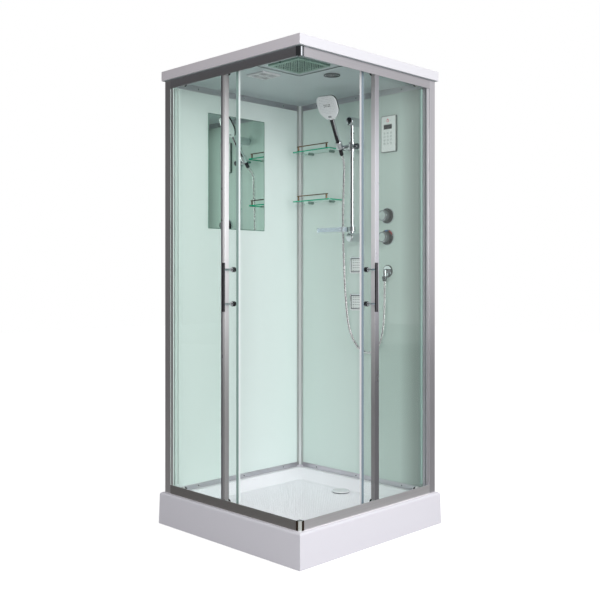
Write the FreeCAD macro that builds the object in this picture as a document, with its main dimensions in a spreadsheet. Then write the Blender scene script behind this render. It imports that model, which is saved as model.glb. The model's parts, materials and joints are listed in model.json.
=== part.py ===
"""Shower cabin: a square tray, two sliding glass doors, two glass walls and a roof.

Millimetres, +Z up, origin at the middle of the tray's footprint on the floor.
The open corner points to +X and -Y. The front door side faces -Y and the right
door side faces +X. The left wall is at -X and the back wall at +Y. What the
front and the left have, the right and the back repeat as a mirror image
across the upright plane through the open corner and the back corner.
"""
import FreeCAD, Part
import math
import os

import Sketcher
from FreeCAD import Placement, Rotation, Vector

os.makedirs("parts", exist_ok=True)
doc = FreeCAD.newDocument("ShowerCabin")
sheet = doc.addObject("Spreadsheet::Sheet", "Sizes")

SIZES = {
    # the two main sizes, running gaps and cutting overrun
    "tray_side": 950, "cabin_tall": 2150, "seat_gap": 0.3, "shaft_gap": 0.05, "overrun": 2,
    # tray
    "tray_taper": 8, "tray_tall": 150, "tray_wall": 5, "skirt_gap": 2,
    "tray_edge_round": 12, "ledge_inset": 46, "ledge_drop": 8,
    "basin_inset": 75, "basin_slope": 67, "basin_deep": 42, "basin_round": 50,
    "pipe_notch_wide": 80, "pipe_notch_tall": 80,
    # support frame and feet
    "bar_wide": 40, "bar_tall": 20, "bar_wall": 2, "bar_ring_inset": 105, "bar_spacing": 260,
    "foot_radius": 25, "foot_tall": 10, "stem_radius": 6, "foot_nut_radius": 11, "foot_nut_tall": 8,
    # drain
    "drain_x": 4, "drain_inset": 48, "drain_seat_radius": 42, "drain_seat_deep": 2, "drain_hole_radius": 26,
    "neck_long": 20, "neck_wall": 3.7, "cover_radius": 43, "cover_thick": 4, "cover_lift": 4,
    "cover_crown": 3, "trap_radius": 50, "trap_wall": 4, "trap_bottom": 20, "outlet_pipe_radius": 22,
    "outlet_radius": 20, "outlet_wall": 2.4, "outlet_height": 45, "outlet_inset": 5, "spigot_long": 40,
    # frame of profiles
    "frame_margin": 21.5, "rail_tall": 41, "profile_deep": 41.5, "profile_wall": 2.5,
    "glass_thick": 5, "fixed_inset": 12.5, "rib_inset": 24.5, "door_inset": 33.5, "rib_wide": 2,
    "rib_tall": 15, "lip_wide": 2, "lip_gap": 1.5, "upstand_tall": 13, "joint_leg": 24,
    "joint_nose_round": 15, "strip_wide": 16, "strip_recess": 3.5, "strip_back": 17.5,
    "seal_floor": 2, "seal_tall": 16, "mitre_gap": 0.4,
    # wall rails
    "wall_inset": 25.5, "wall_rail_deep": 14, "wall_rail_leg": 24, "wall_rail_back": 20,
    "wall_top_leg": 29, "back_post_leg": 24, "back_post_cove": 10, "slot_short": 3,
    # doors and fixed glass
    "door_lead": 38, "door_cover": 28, "door_overlap": 54, "edge_profile_wide": 27, "edge_profile_over": 3,
    "edge_profile_back": 23.5, "door_rail_gap": 10, "door_seal_wide": 10, "door_seal_out": 8,
    "brush_wide": 8, "brush_short": 36, "wheel_radius": 13, "groove_radius": 11, "groove_gap": 0.3,
    "wheel_wide": 8, "axle_radius": 3, "axle_head_radius": 5, "axle_head_thick": 1.3,
    "wheel_rear_inset": 41, "wheel_front_inset": 70, "spacer_radius": 6, "cap_radius": 11, "cap_thick": 9,
    "cap_round": 3,
    # door handles
    "handle_inset": 41, "handle_low_share": 0.4626, "handle_spacing": 151, "handle_bar_long": 215,
    "handle_bar_wide": 13, "handle_bar_thick": 8, "handle_bar_stand": 21, "handle_bar_over": 34,
    "handle_rod_radius": 5, "handle_washer_radius": 10, "handle_washer_thick": 2,
    "handle_knob_radius": 11.5, "handle_knob_long": 14, "handle_bar_round": 3,
    # roof
    "roof_margin": 8.5, "roof_rim_tall": 44, "roof_wall": 6, "roof_round": 2, "roof_corner_round": 3,
    "ceiling_rise": 10, "ceiling_thick": 6, "ceiling_margin": 75, "ceiling_slope": 24,
    # rain head and its recess
    "rain_side_inset": 210, "rain_front_inset": 205, "rain_side": 200, "rain_thick": 8, "rain_round": 8,
    "rain_recess_side": 300, "rain_recess_deep": 2, "inlet_radius": 9, "nozzle_radius": 2,
    "nozzle_long": 2, "nozzle_pitch": 22,
    # fan
    "fan_shift": 246, "fan_back": 13, "grille_side": 112, "grille_thick": 5, "grille_slot": 4,
    "grille_slot_pitch": 10, "grille_frame": 8, "fan_box_side": 104, "fan_box_tall": 32, "fan_bore_radius": 48,
    "fan_blade_radius": 45, "fan_hub_radius": 15, "fan_hub_tall": 16, "fan_blade_thick": 2,
    "fan_blade_drop": 10, "fan_pin_radius": 3, "fan_bridge_wide": 14, "fan_bridge_thick": 4,
    "fan_blade_tilt": 40, "fan_motor_radius": 14, "fan_motor_tall": 4,
    # ceiling speaker
    "speaker_shift": 20, "speaker_back": 235, "speaker_radius": 39, "speaker_flange": 4,
    "speaker_body_radius": 30, "speaker_body_tall": 9,
    # left wall mirror
    "mirror_front": 211, "mirror_back": 161, "mirror_low_share": 0.646, "mirror_top_share": 0.93852,
    "mirror_thick": 4,
    # control panel
    "panel_shift": 35, "panel_wide": 95, "panel_low_share": 0.83914, "panel_tall": 180, "panel_thick": 12,
    "panel_round": 6, "display_wide": 51, "display_tall": 28, "display_rise": 111, "display_deep": 1.5,
    "display_inset": 18,
    # mixer, knobs, outlet
    "valve_x": 183, "valve_stand": 17, "valve_radius": 14, "valve_low_share": 0.60451,
    "valve_top_share": 0.69775, "temperature_height_share": 0.62398, "diverter_height_share": 0.67828,
    "cartridge_radius": 17, "cartridge_hole": 19, "spindle_radius": 5, "spindle_reach": 36,
    "plate_radius": 40, "plate_thick": 7, "plate_round": 3, "plate_bore": 18,
    "knob_radius": 27, "knob_long": 38, "knob_stand": 2, "knob_round": 4, "knob_socket_deep": 27,
    "inlet_nipple_radius": 10.48, "inlet_nipple_long": 24, "inlet_spacing": 150, "inlet_bore": 7,
    "outlet_elbow_height_share": 0.53842, "rosette_radius": 30, "rosette_thick": 6, "elbow_radius": 11,
    "elbow_stand": 26, "hose_nut_radius": 11.5, "hose_nut_long": 26, "hose_nut_drop": 51,
    "stub_radius": 8, "stub_hole": 9,
    # body jets
    "jet_shift": 19, "jet_low_share": 0.45748, "jet_high_share": 0.5543, "jet_side": 85, "jet_thick": 8,
    "jet_round": 9, "jet_face_inset": 7, "jet_face_deep": 1, "jet_nut_radius": 16, "jet_nut_thick": 7,
    "branch_height_share": 0.50564, "pipe_radius": 7, "pipe_wall": 1,
    # slide bar, slider, hand shower
    "bar_x": 4, "bar_stand": 60, "bar_radius": 10.5, "bar_over": 14, "bracket_low_share": 0.62602,
    "bracket_high_share": 0.926, "bracket_radius": 22.5, "bracket_long": 85,
    "bracket_round": 3, "slider_drop": 273, "slider_radius": 17, "slider_tall": 46, "slider_slide": 0.1,
    "barrel_radius": 12, "barrel_long": 48, "barrel_pin_radius": 4, "barrel_pin_long": 20,
    "clamp_pin_radius": 5, "clamp_pin_long": 14, "clamp_knob_radius": 15, "clamp_knob_long": 22,
    "clamp_knob_round": 3, "hub_radius": 13, "hub_reach": 76,
    "hand_shift": 64, "hand_stand": 24, "hand_rise": 7, "hand_lean": 30, "hand_yaw": 11,
    "cup_drop": 14, "cup_top": 20, "cup_radius": 17.5, "cup_wall": 4,
    "cone_drop": 28, "cone_top": 30, "cone_low_radius": 10.5, "cone_top_radius": 12.8,
    "grip_top": 150, "grip_radius": 12.4, "grip_waist_radius": 11, "nut_drop": 48, "nut_radius": 9.5,
    "head_rise": 147, "head_tall": 125, "head_wide": 118, "head_thick": 20, "head_corner_round": 34,
    "neck_half": 24, "cheek_rise": 46, "cheek_round": 24, "head_edge_round": 5, "button_wide": 18, "button_tall": 9, "button_stand": 2.5, "button_travel": 2,
    "button_rise": 12, "button_gap": 0.4,
    # soap dish
    "dish_reach": 212, "dish_gap": 26, "dish_front": 45, "dish_back": 17, "dish_low_share": 0.64037,
    "dish_tall": 24, "dish_wall": 3, "dish_round": 14, "dish_ring_radius": 16, "dish_ring_tall": 26,
    # shelves
    "shelf_inset": 46, "shelf_gap": 116, "shelf_reach": 108, "shelf_thick": 6, "shelf_round": 14,
    "shelf_low_share": 0.73002, "shelf_high_share": 0.86424, "shelf_post_left": 41, "shelf_post_right": 26,
    "shelf_post_inset": 10, "shelf_rail_radius": 3, "shelf_rail_rise": 25, "shelf_post_radius": 4.5,
    "shelf_clip_left": 51, "shelf_clip_right": 67, "shelf_clip_radius": 11, "shelf_clip_long": 26,
    # hose
    "hose_radius": 7,
}


class Size:
    """A size of the sheet, or one worked out from such sizes: its formula and its value."""

    def __init__(self, formula, value):
        self.formula = formula
        self.value = value

    def __add__(self, other):
        return Size(f"({self.formula} + {text(other)})", self.value + amount(other))

    def __sub__(self, other):
        return Size(f"({self.formula} - {text(other)})", self.value - amount(other))

    def __rsub__(self, other):
        return Size(f"({text(other)} - {self.formula})", amount(other) - self.value)

    def __mul__(self, share):
        return Size(f"({self.formula} * {text(share)})", self.value * amount(share))

    def __truediv__(self, share):
        return Size(f"({self.formula} / {text(share)})", self.value / amount(share))

    def __neg__(self):
        return Size(f"(0 - {self.formula})", -self.value)


def text(size):
    return size.formula if isinstance(size, Size) else repr(size)


def amount(size):
    return size.value if isinstance(size, Size) else size


class Names:
    """The sheet's sizes by name."""


s = Names()
for row, (name, value) in enumerate(SIZES.items(), 1):
    sheet.set(f"A{row}", name)
    sheet.set(f"B{row}", str(value))
    sheet.setAlias(f"B{row}", name)
    setattr(s, name, Size(f"Sizes.{name}", value))
doc.recompute()

nodes = []
tiny = 1e-6
near = s.seat_gap.value / 100
TURN = {"x": Rotation(Vector(0, 1, 0), 90), "y": Rotation(Vector(1, 0, 0), -90), "z": Rotation()}
PLANES = {"x": "YZ_Plane", "z": "XY_Plane"}
WHOLE_TURN = 360


def bind(thing, field, size):
    """Tie a field of an object to a size's formula."""
    if isinstance(size, Size):
        thing.setExpression(field, size.formula)


def move(thing, x, y, z):
    for axis, size in zip("xyz", (x, y, z)):
        bind(thing, f"Placement.Base.{axis}", size)


def spot(axis, centre, along):
    """The x, y and z of a place along an axis that runs through a centre."""
    if axis == "x":
        return along, centre[0], centre[1]
    if axis == "y":
        return centre[0], along, centre[1]
    return centre[0], centre[1], along


def box(name, across, deep, tall):
    """A block between two places along X, Y and Z."""
    block = doc.addObject("Part::Box", name)
    for field, (low, high) in zip(("Length", "Width", "Height"), (across, deep, tall)):
        bind(block, field, high - low)
    move(block, across[0], deep[0], tall[0])
    return block


def around(centre, side):
    """The two ends of a side that is centred on a place."""
    return centre - side / 2, centre + side / 2


def rod(name, axis, radius, centre, span):
    """A cylinder along an axis from one place to another."""
    cylinder = doc.addObject("Part::Cylinder", name)
    cylinder.Placement = Placement(Vector(), TURN[axis])
    bind(cylinder, "Radius", radius)
    bind(cylinder, "Height", span[1] - span[0])
    move(cylinder, *spot(axis, centre, span[0]))
    return cylinder


def ball(name, radius, x, y, z):
    sphere = doc.addObject("Part::Sphere", name)
    bind(sphere, "Radius", radius)
    move(sphere, x, y, z)
    return sphere


def fuse(name, *pieces):
    union = doc.addObject("Part::MultiFuse", name)
    union.Shapes = list(pieces)
    return union


def cut(name, base, *tools):
    """A piece with every tool taken out of it."""
    taken = tools[0] if len(tools) == 1 else fuse(name + "_space", *tools)
    left = doc.addObject("Part::Cut", name)
    left.Base = base
    left.Tool = taken
    return left


def group(name, *pieces):
    """Several separate solids that belong together."""
    set_of = doc.addObject("Part::Compound", name)
    set_of.Links = list(pieces)
    return set_of


def twin(name, piece):
    """The mirror image across the upright plane through the open corner."""
    image = doc.addObject("Part::Mirroring", name)
    image.Source = piece
    image.Base = (0, 0, 0)
    image.Normal = (1, 1, 0)
    return image


def keep(name, piece):
    """Mark a finished sub-part."""
    piece.Label = name
    nodes.append(piece)
    return piece


def draw(sketch, points):
    """A closed outline of lines, each corner tied to its two sizes."""
    first = sketch.GeometryCount
    count = len(points)
    spots = [Vector(amount(x), amount(y), 0) for x, y in points]
    sketch.addGeometry([Part.LineSegment(spots[k], spots[(k + 1) % count]) for k in range(count)])
    sketch.addConstraint([Sketcher.Constraint("Coincident", first + k, 2, first + (k + 1) % count, 1)
                          for k in range(count)])
    for k, (x, y) in enumerate(points):
        for kind, size, line in (("DistanceX", x, -2), ("DistanceY", y, -1)):
            if isinstance(size, Size):
                index = sketch.addConstraint(Sketcher.Constraint(kind, -1, 1, first + k, 1, size.value))
                sketch.setExpression(f"Constraints[{index}]", size.formula)
            else:
                sketch.addConstraint(Sketcher.Constraint("PointOnObject", first + k, 1, line))


def new_sketch(body, role):
    sketch = body.newObject("Sketcher::SketchObject", body.Name + "_section")
    plane = [item for item in body.Origin.OriginFeatures if item.Role == role][0]
    sketch.AttachmentSupport = (plane, [""])
    sketch.MapMode = "FlatFace"
    return sketch


def extrusion(name, axis, points, span, hollow=None):
    """A profile of one section, from one place to another along an axis."""
    body = doc.addObject("PartDesign::Body", name)
    sketch = new_sketch(body, PLANES[axis])
    draw(sketch, points)
    if hollow:
        draw(sketch, hollow)
    bind(sketch, "AttachmentOffset.Base.z", span[0])
    pad = body.newObject("PartDesign::Pad", name + "_pad")
    pad.Profile = sketch
    bind(pad, "Length", span[1] - span[0])
    return body


def turned(name, points, axis="z", centre=(0, 0), start=0):
    """A turned piece: its outline gives radius and place along its own axis."""
    body = doc.addObject("PartDesign::Body", name)
    sketch = new_sketch(body, "XZ_Plane")
    draw(sketch, points)
    lathe = body.newObject("PartDesign::Revolution", name + "_turn")
    lathe.Profile = sketch
    lathe.ReferenceAxis = (sketch, ["V_Axis"])
    lathe.Angle = WHOLE_TURN
    body.Placement = Placement(Vector(), TURN[axis])
    move(body, *spot(axis, centre, start))
    return body


def frustum(name, half_low, half_top, low, top):
    """A square block whose sides slope evenly from the bottom to the top."""
    wedge = doc.addObject("Part::Wedge", name)
    wedge.Placement = Placement(Vector(), Rotation(Vector(1, 0, 0), 90))
    wedge.Ymin = 0
    for field, size in (("Xmin", -half_low), ("Xmax", half_low), ("Zmin", -half_low), ("Zmax", half_low),
                        ("X2min", -half_top), ("X2max", half_top), ("Z2min", -half_top), ("Z2max", half_top),
                        ("Ymax", top - low)):
        bind(wedge, field, size)
    move(wedge, 0, 0, low)
    return wedge


def upright(edge):
    """Whether an edge climbs, straight or at a slope."""
    ends = [vertex.Point for vertex in edge.Vertexes]
    return abs(ends[-1].z - ends[0].z) > near


def along(axis):
    """A test for straight edges that run along an axis."""
    def test(edge):
        ends = [vertex.Point for vertex in edge.Vertexes]
        run = ends[-1] - ends[0]
        return run.Length > 0 and abs(getattr(run, axis)) > run.Length * (1 - tiny)
    return test


def level(axis, size):
    """A test for edges that lie wholly at one place along an axis."""
    def test(edge):
        bounds = edge.BoundBox
        low, high = getattr(bounds, axis.upper() + "Min"), getattr(bounds, axis.upper() + "Max")
        return abs(low - amount(size)) < near and abs(high - amount(size)) < near
    return test


def rounded(name, base, size, *tests):
    """A piece with some of its edges rounded: those that pass any of the tests."""
    doc.recompute()
    fillet = doc.addObject("Part::Fillet", name)
    fillet.Base = base
    fillet.Edges = [(index, amount(size), amount(size)) for index, edge in enumerate(base.Shape.Edges, 1)
                    if any(test(edge) for test in tests)]
    return fillet


# Widths and depths that follow from the tray's side
s.tray_top_side = s.tray_side - s.tray_taper
s.ledge_side = s.tray_side - s.ledge_inset * 2
s.basin_side = s.tray_side - s.basin_inset * 2
s.basin_floor_side = s.basin_side - s.basin_slope * 2
s.bar_ring_side = s.tray_side - s.bar_ring_inset * 2
s.drain_y = s.basin_floor_side / 2 - s.drain_inset
s.outlet_reach = s.tray_side / 2 - s.outlet_inset
frame_half = s.tray_side / 2 - s.frame_margin
post_inner = frame_half - s.profile_deep
inner_face = frame_half - s.wall_inset
glass_back = inner_face + s.glass_thick
s.door_start = s.door_cover - post_inner
s.fixed_glass_end = s.door_lead - s.door_overlap
s.roof_side = s.tray_side - s.roof_margin * 2
s.ceiling_side = s.tray_side - s.ceiling_margin * 2
s.rain_x = s.ceiling_side / 2 - s.rain_side_inset
s.rain_y = s.rain_front_inset - s.ceiling_side / 2
s.fan_x = s.rain_x - s.fan_shift
s.fan_y = s.rain_y + s.fan_back
s.speaker_x = s.rain_x - s.speaker_shift
s.speaker_y = s.rain_y + s.speaker_back
s.valve_y = glass_back + s.valve_stand
s.jet_x = s.bar_x - s.jet_shift
s.bar_y = inner_face - s.bar_stand
s.dish_end = s.bar_x - s.dish_gap
s.shelf_start = s.shelf_inset - inner_face
s.shelf_end = s.bar_x - s.shelf_gap

# Heights that follow from the cabin's: a share is a height up the frame
s.frame_tall = s.cabin_tall - s.tray_tall - s.ceiling_rise - s.ceiling_thick - s.fan_box_tall
for name in SIZES:
    if name.endswith("_share"):
        setattr(s, name.removesuffix("_share"), s.tray_tall + s.frame_tall * getattr(s, name))
frame_top = s.tray_tall + s.frame_tall
rail_low = s.tray_tall
s.hose_start = s.outlet_elbow_height - s.hose_nut_drop
s.slider_height = frame_top - s.slider_drop

# Half sides that many pieces share
fixed_y = s.fixed_inset - frame_half
door_y = s.door_inset - frame_half
rib_y = s.rib_inset - frame_half
half_glass = s.glass_thick / 2
basin_top = s.tray_tall - s.ledge_drop
basin_floor = basin_top - s.basin_deep
underside = basin_floor - s.tray_wall
ledge_half = s.ledge_side / 2

# Tray: skirt, rim, ledge and basin in one moulded shell, hollow underneath
outer = frustum("tray_block", s.tray_side / 2, s.tray_top_side / 2, s.skirt_gap, s.tray_tall)
outer = rounded("tray_edges", outer, s.tray_edge_round, level("z", s.tray_tall))
ledge = box("ledge_space", (-ledge_half, ledge_half), (-ledge_half, ledge_half),
            (basin_top, s.tray_tall + s.overrun))
basin = frustum("basin_space", s.basin_floor_side / 2, s.basin_side / 2, basin_floor, basin_top)
basin = rounded("basin_space_round", basin, s.basin_round, upright)
skin_low = s.basin_floor_side / 2 + s.tray_wall
skin_top = s.basin_side / 2 + s.tray_wall
skin = frustum("basin_skin", skin_low, skin_top, underside, basin_top - s.tray_wall)
skin = rounded("basin_skin_round", skin, s.basin_round + s.tray_wall, upright)
under_low = s.tray_side / 2 - s.tray_wall
under_top = s.tray_top_side / 2 - s.tray_wall
under = frustum("under_block", under_low, under_top, 0, basin_top - s.tray_wall)
under = cut("under_space", under, skin)
drain = (s.drain_x, s.drain_y)
drain_hole = rod("drain_hole", "z", s.drain_hole_radius, drain,
                 (underside - s.overrun, basin_floor + s.overrun))
drain_seat = rod("drain_seat", "z", s.drain_seat_radius, drain,
                 (basin_floor - s.drain_seat_deep, basin_floor + s.overrun))
notch = box("pipe_notch", around(s.drain_x, s.pipe_notch_wide), (under_top, s.tray_side / 2 + s.overrun),
            (0, s.pipe_notch_tall))
keep("shower_tray", cut("shower_tray", outer, ledge, basin, under, drain_hole, drain_seat, notch))

# Support frame of pressed channels, open underneath
bars_top = underside - s.seat_gap
bars_low = bars_top - s.bar_tall


def channel_work(label, shrink, low, top):
    """The ring and its two cross bars, drawn in by the wall where they are hollow."""
    reach = s.bar_ring_side / 2 + s.bar_wide / 2 - shrink
    inner = s.bar_ring_side / 2 - s.bar_wide / 2 + shrink
    plate = box(label + "_plate", (-reach, reach), (-reach, reach), (low, top))
    spaces = []
    edges = [-inner, shrink - s.bar_spacing / 2 - s.bar_wide / 2, s.bar_wide / 2 - shrink - s.bar_spacing / 2,
             s.bar_spacing / 2 - s.bar_wide / 2 + shrink, s.bar_spacing / 2 + s.bar_wide / 2 - shrink, inner]
    for k in range(0, len(edges), 2):
        spaces.append(box(f"{label}_space_{k}", (-inner, inner), (edges[k], edges[k + 1]),
                          (low - s.overrun, top + s.overrun)))
    return cut(label + "_ring", plate, *spaces)


channels = channel_work("frame", 0, bars_low, bars_top)
hollows = channel_work("hollow", s.bar_wall, bars_low - s.overrun, bars_top - s.bar_wall)
keep("tray_support_frame", cut("tray_support_frame", channels, hollows))

# Levelling feet: pad, nut and stem, each foot one turned piece
ring_half = s.bar_ring_side / 2
foot_places = [(x, y) for x in (-ring_half, ring_half) for y in (-ring_half, ring_half)]
foot_places += [(0, -s.bar_spacing / 2), (0, s.bar_spacing / 2)]
stem_top = bars_top - s.bar_wall
foot_outline = [(0, 0), (s.foot_radius, 0), (s.foot_radius, s.foot_tall / 2), (s.foot_nut_radius, s.foot_tall),
                (s.stem_radius, s.foot_tall), (s.stem_radius, stem_top - s.foot_nut_tall * 2),
                (s.foot_nut_radius, stem_top - s.foot_nut_tall * 2),
                (s.foot_nut_radius, stem_top - s.foot_nut_tall), (s.stem_radius, stem_top - s.foot_nut_tall),
                (s.stem_radius, stem_top), (0, stem_top)]
feet = [turned(f"foot_{k}", foot_outline, "z", place) for k, place in enumerate(foot_places, 1)]
keep("levelling_feet", group("levelling_feet", *feet))

# Drain: flange with neck, lift-out cover, trap with its outlet
seat_floor = basin_floor - s.drain_seat_deep
neck_outer = s.drain_hole_radius - s.seat_gap
neck_inner = neck_outer - s.neck_wall
neck_low = underside - s.neck_long
flange_outline = [(neck_inner, neck_low), (neck_outer, neck_low), (neck_outer, seat_floor),
                  (s.drain_seat_radius - s.seat_gap, seat_floor),
                  (s.drain_seat_radius - s.seat_gap, basin_floor),
                  (neck_inner, basin_floor)]
keep("drain_flange", turned("drain_flange", flange_outline, "z", drain))
cover_low = basin_floor + s.cover_lift
cover_ring = neck_inner - s.seat_gap
cover_outline = [(0, cover_low), (cover_ring - s.neck_wall, cover_low), (cover_ring - s.neck_wall, underside),
                 (cover_ring, underside), (cover_ring, cover_low - s.cover_lift + s.seat_gap),
                 (cover_ring + s.neck_wall, basin_floor + s.seat_gap), (cover_ring + s.neck_wall, cover_low),
                 (s.cover_radius, cover_low), (s.cover_radius, cover_low + s.cover_thick / 2),
                 (s.cover_radius - s.cover_thick / 2, cover_low + s.cover_thick),
                 (s.cover_radius / 3, cover_low + s.cover_thick + s.cover_crown),
                 (0, cover_low + s.cover_thick + s.cover_crown)]
cover_body = turned("cover_disc", cover_outline, "z", drain)
cover_gaps = [box(f"cover_gap_{k}", across, deep, (basin_floor - s.overrun * 4, cover_low))
              for k, (across, deep) in enumerate([
                  (around(s.drain_x, s.cover_radius * 2), around(s.drain_y, cover_ring)),
                  (around(s.drain_x, cover_ring), around(s.drain_y, s.cover_radius * 2))], 1)]
keep("drain_cover", cut("drain_cover", cover_body, *cover_gaps))
trap_inner = s.trap_radius - s.trap_wall
trap_top = underside - s.seat_gap
trap_outline = [(0, s.trap_bottom), (s.trap_radius, s.trap_bottom), (s.trap_radius, trap_top),
                (neck_outer + s.seat_gap, trap_top), (neck_outer + s.seat_gap, trap_top - s.trap_wall),
                (trap_inner, trap_top - s.trap_wall), (trap_inner, s.trap_bottom + s.trap_wall),
                (0, s.trap_bottom + s.trap_wall)]
trap_cup = turned("trap_cup", trap_outline, "z", drain)
outlet_line = (s.drain_x, s.outlet_height)
outlet_start = s.drain_y + trap_inner
outlet_pipe = rod("trap_outlet", "y", s.outlet_pipe_radius, outlet_line,
                  (outlet_start - s.trap_wall, s.outlet_reach - s.spigot_long))
spigot = rod("trap_spigot", "y", s.outlet_radius, outlet_line, (outlet_start, s.outlet_reach))
outlet_bore = rod("trap_bore", "y", s.outlet_radius - s.outlet_wall, outlet_line,
                  (outlet_start - s.trap_wall * 2, s.outlet_reach + s.overrun))
trap_room = rod("trap_room", "z", trap_inner, drain, (s.trap_bottom + s.trap_wall, trap_top - s.trap_wall))
outlet_outside = cut("trap_outlet_outside", fuse("trap_outlet_whole", outlet_pipe, spigot), trap_room)
keep("drain_trap", cut("drain_trap", fuse("trap_whole", trap_cup, outlet_outside), outlet_bore))


def rail_outline(base, sign):
    """The section of a door rail: outer leg, glazing lip, track rib and inner upstand.

    Places run up from the base of a bottom rail and down from that of a top rail.
    """
    def height(size):
        return base + size if sign > 0 else base - size
    face = -frame_half
    wall = s.profile_wall
    lip_far = fixed_y + half_glass + s.lip_gap
    return [(face, base), (face + s.profile_deep, base),
            (face + s.profile_deep, height(s.upstand_tall)),
            (face + s.profile_deep - wall, height(s.upstand_tall)),
            (face + s.profile_deep - wall, height(wall)), (rib_y + s.rib_wide / 2, height(wall)),
            (rib_y + s.rib_wide / 2, height(s.rib_tall)), (rib_y - s.rib_wide / 2, height(s.rib_tall)),
            (rib_y - s.rib_wide / 2, height(wall)), (lip_far + s.lip_wide, height(wall)),
            (lip_far + s.lip_wide, height(s.rib_tall)), (lip_far, height(s.rib_tall)),
            (lip_far, height(wall)), (face + wall, height(wall)),
            (face + wall, height(s.rail_tall)), (face, height(s.rail_tall))]


# Door rails: from the left post to the corner joint, cut at the mitre behind the joint
rail_span = (-post_inner, frame_half - s.joint_leg)
mitre_near = post_inner - s.overrun
mitre_far = frame_half + s.overrun
mitre_outline = [(mitre_near, -mitre_near - s.mitre_gap), (mitre_far, -mitre_far - s.mitre_gap),
                 (mitre_far, -mitre_near)]
for label, base, sign in (("bottom", rail_low, 1), ("top", frame_top, -1)):
    rail_bar = extrusion(f"{label}_rail_bar", "x", rail_outline(base, sign), rail_span)
    low = base - s.overrun if sign > 0 else base - s.rail_tall - s.overrun
    corner = extrusion(f"{label}_mitre", "z", mitre_outline, (low, low + s.rail_tall + s.overrun * 2))
    front_rail = cut(f"{label}_rail_front", rail_bar, corner)
    keep(f"{label}_rails", group(f"{label}_rails", front_rail, twin(f"{label}_rail_right", front_rail)))

# Corner joints: a chrome nose that closes the rails at the open corner, at the bottom and at the top
joints = []
for label, low in (("bottom", rail_low), ("top", frame_top - s.rail_tall)):
    nose = box(f"{label}_nose", (frame_half - s.joint_leg + s.seat_gap, frame_half),
               (-frame_half, s.joint_leg - s.seat_gap - frame_half), (low, low + s.rail_tall))
    joints.append(rounded(f"{label}_joint", nose, s.joint_nose_round,
                          lambda edge: upright(edge) and edge.BoundBox.XMin > frame_half.value - near
                          and edge.BoundBox.YMax < near - frame_half.value))
keep("corner_joints", group("corner_joints", *joints))

# Posts: a square tube with a clamping strip that holds the fixed glass
wall = s.profile_wall
face = -frame_half
slot_out = fixed_y - half_glass - s.seat_gap
slot_in = fixed_y + half_glass + s.seat_gap
step = face + s.profile_deep
strip_end = step + s.strip_wide
post_outline = [(face, face), (step, face), (step, face + s.strip_recess), (strip_end, face + s.strip_recess),
                (strip_end, slot_out), (step, slot_out), (step, slot_in), (strip_end, slot_in),
                (strip_end, face + s.strip_back), (step, face + s.strip_back), (step, step), (face, step)]
post_hollow = [(face + wall, face + wall), (step - wall, face + wall), (step - wall, step - wall),
               (face + wall, step - wall)]
left_tube = extrusion("left_tube", "z", post_outline, (rail_low, frame_top), post_hollow)
strip_room = (face, face + s.strip_back + s.overrun)
strip_notches = [box(f"strip_notch_{k}", (step, strip_end + s.overrun), strip_room, tall)
                 for k, tall in enumerate([(rail_low - s.overrun, rail_low + s.rail_tall),
                                           (frame_top - s.rail_tall, frame_top + s.overrun)], 1)]
left_post = keep("corner_post_left", cut("corner_post_left", left_tube, *strip_notches))
keep("corner_post_right", twin("corner_post_right", left_post))

# Back corner post: an angle outside the walls and a cove inside, one profile with a slot for each wall
cove = s.back_post_cove
out = glass_back + s.wall_rail_deep - s.glass_thick
leg = s.back_post_leg
slot_near = inner_face - s.seat_gap
slot_far = glass_back + s.seat_gap
cove_back = inner_face - s.seat_gap - wall
slot_stop = inner_face - s.slot_short
wall_glass_end = slot_stop - s.seat_gap
back_outline = [(-out, out), (-out, out - leg), (-slot_far, out - leg), (-slot_far, slot_stop),
                (-slot_near, slot_stop), (-slot_near, inner_face - leg), (-cove_back, inner_face - leg),
                (-cove_back, cove_back - cove), (cove - cove_back, cove_back), (leg - inner_face, cove_back),
                (leg - inner_face, slot_near), (-slot_stop, slot_near), (-slot_stop, slot_far),
                (leg - out, slot_far), (leg - out, out)]
keep("corner_post_back", extrusion("corner_post_back", "z", back_outline, (rail_low, frame_top)))

# Wall rails: a channel that holds a glass wall, with a skirt down to the ledge or up to the roof
rail_back = inner_face + s.wall_rail_deep
glass_seat = rail_low + wall
skirt_low = basin_top + s.seat_gap
wall_rail_end = inner_face - leg - s.seat_gap
wall_span = (-post_inner, wall_rail_end)


def along_y(name, points, span):
    """A profile along Y, drawn with X across and Z up, turned over from one drawn along X."""
    turned_points = [(-across, up) for across, up in points]
    piece = extrusion(name, "x", turned_points, span)
    piece.Placement = Placement(Vector(), Rotation(Vector(0, 0, 1), 90))
    return piece


bottom_wall_outline = [(-rail_back, rail_low), (-inner_face, rail_low), (-inner_face, skirt_low),
                       (wall - inner_face, skirt_low), (wall - inner_face, skirt_low + s.wall_rail_leg),
                       (-slot_near, skirt_low + s.wall_rail_leg), (-slot_near, glass_seat),
                       (-slot_far, glass_seat), (-slot_far, rail_low + s.wall_rail_back),
                       (-slot_far - wall, rail_low + s.wall_rail_back),
                       (-slot_far - wall, glass_seat), (-rail_back, glass_seat)]
top_leg = frame_top - s.wall_top_leg
top_seat = frame_top - wall
top_wall_outline = [(-rail_back, frame_top), (-rail_back, top_seat), (-slot_far - wall, top_seat),
                    (-slot_far - wall, top_leg), (-slot_far, top_leg), (-slot_far, top_seat),
                    (-slot_near, top_seat),
                    (-slot_near, top_leg), (wall - inner_face, top_leg), (wall - inner_face, frame_top)]
for label, points in (("bottom", bottom_wall_outline), ("top", top_wall_outline)):
    left_rail = along_y(f"left_wall_rail_{label}", points, wall_span)
    back_rail = twin(f"back_wall_rail_{label}", left_rail)
    keep(f"wall_rails_{label}", group(f"wall_rails_{label}", left_rail, back_rail))

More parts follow.
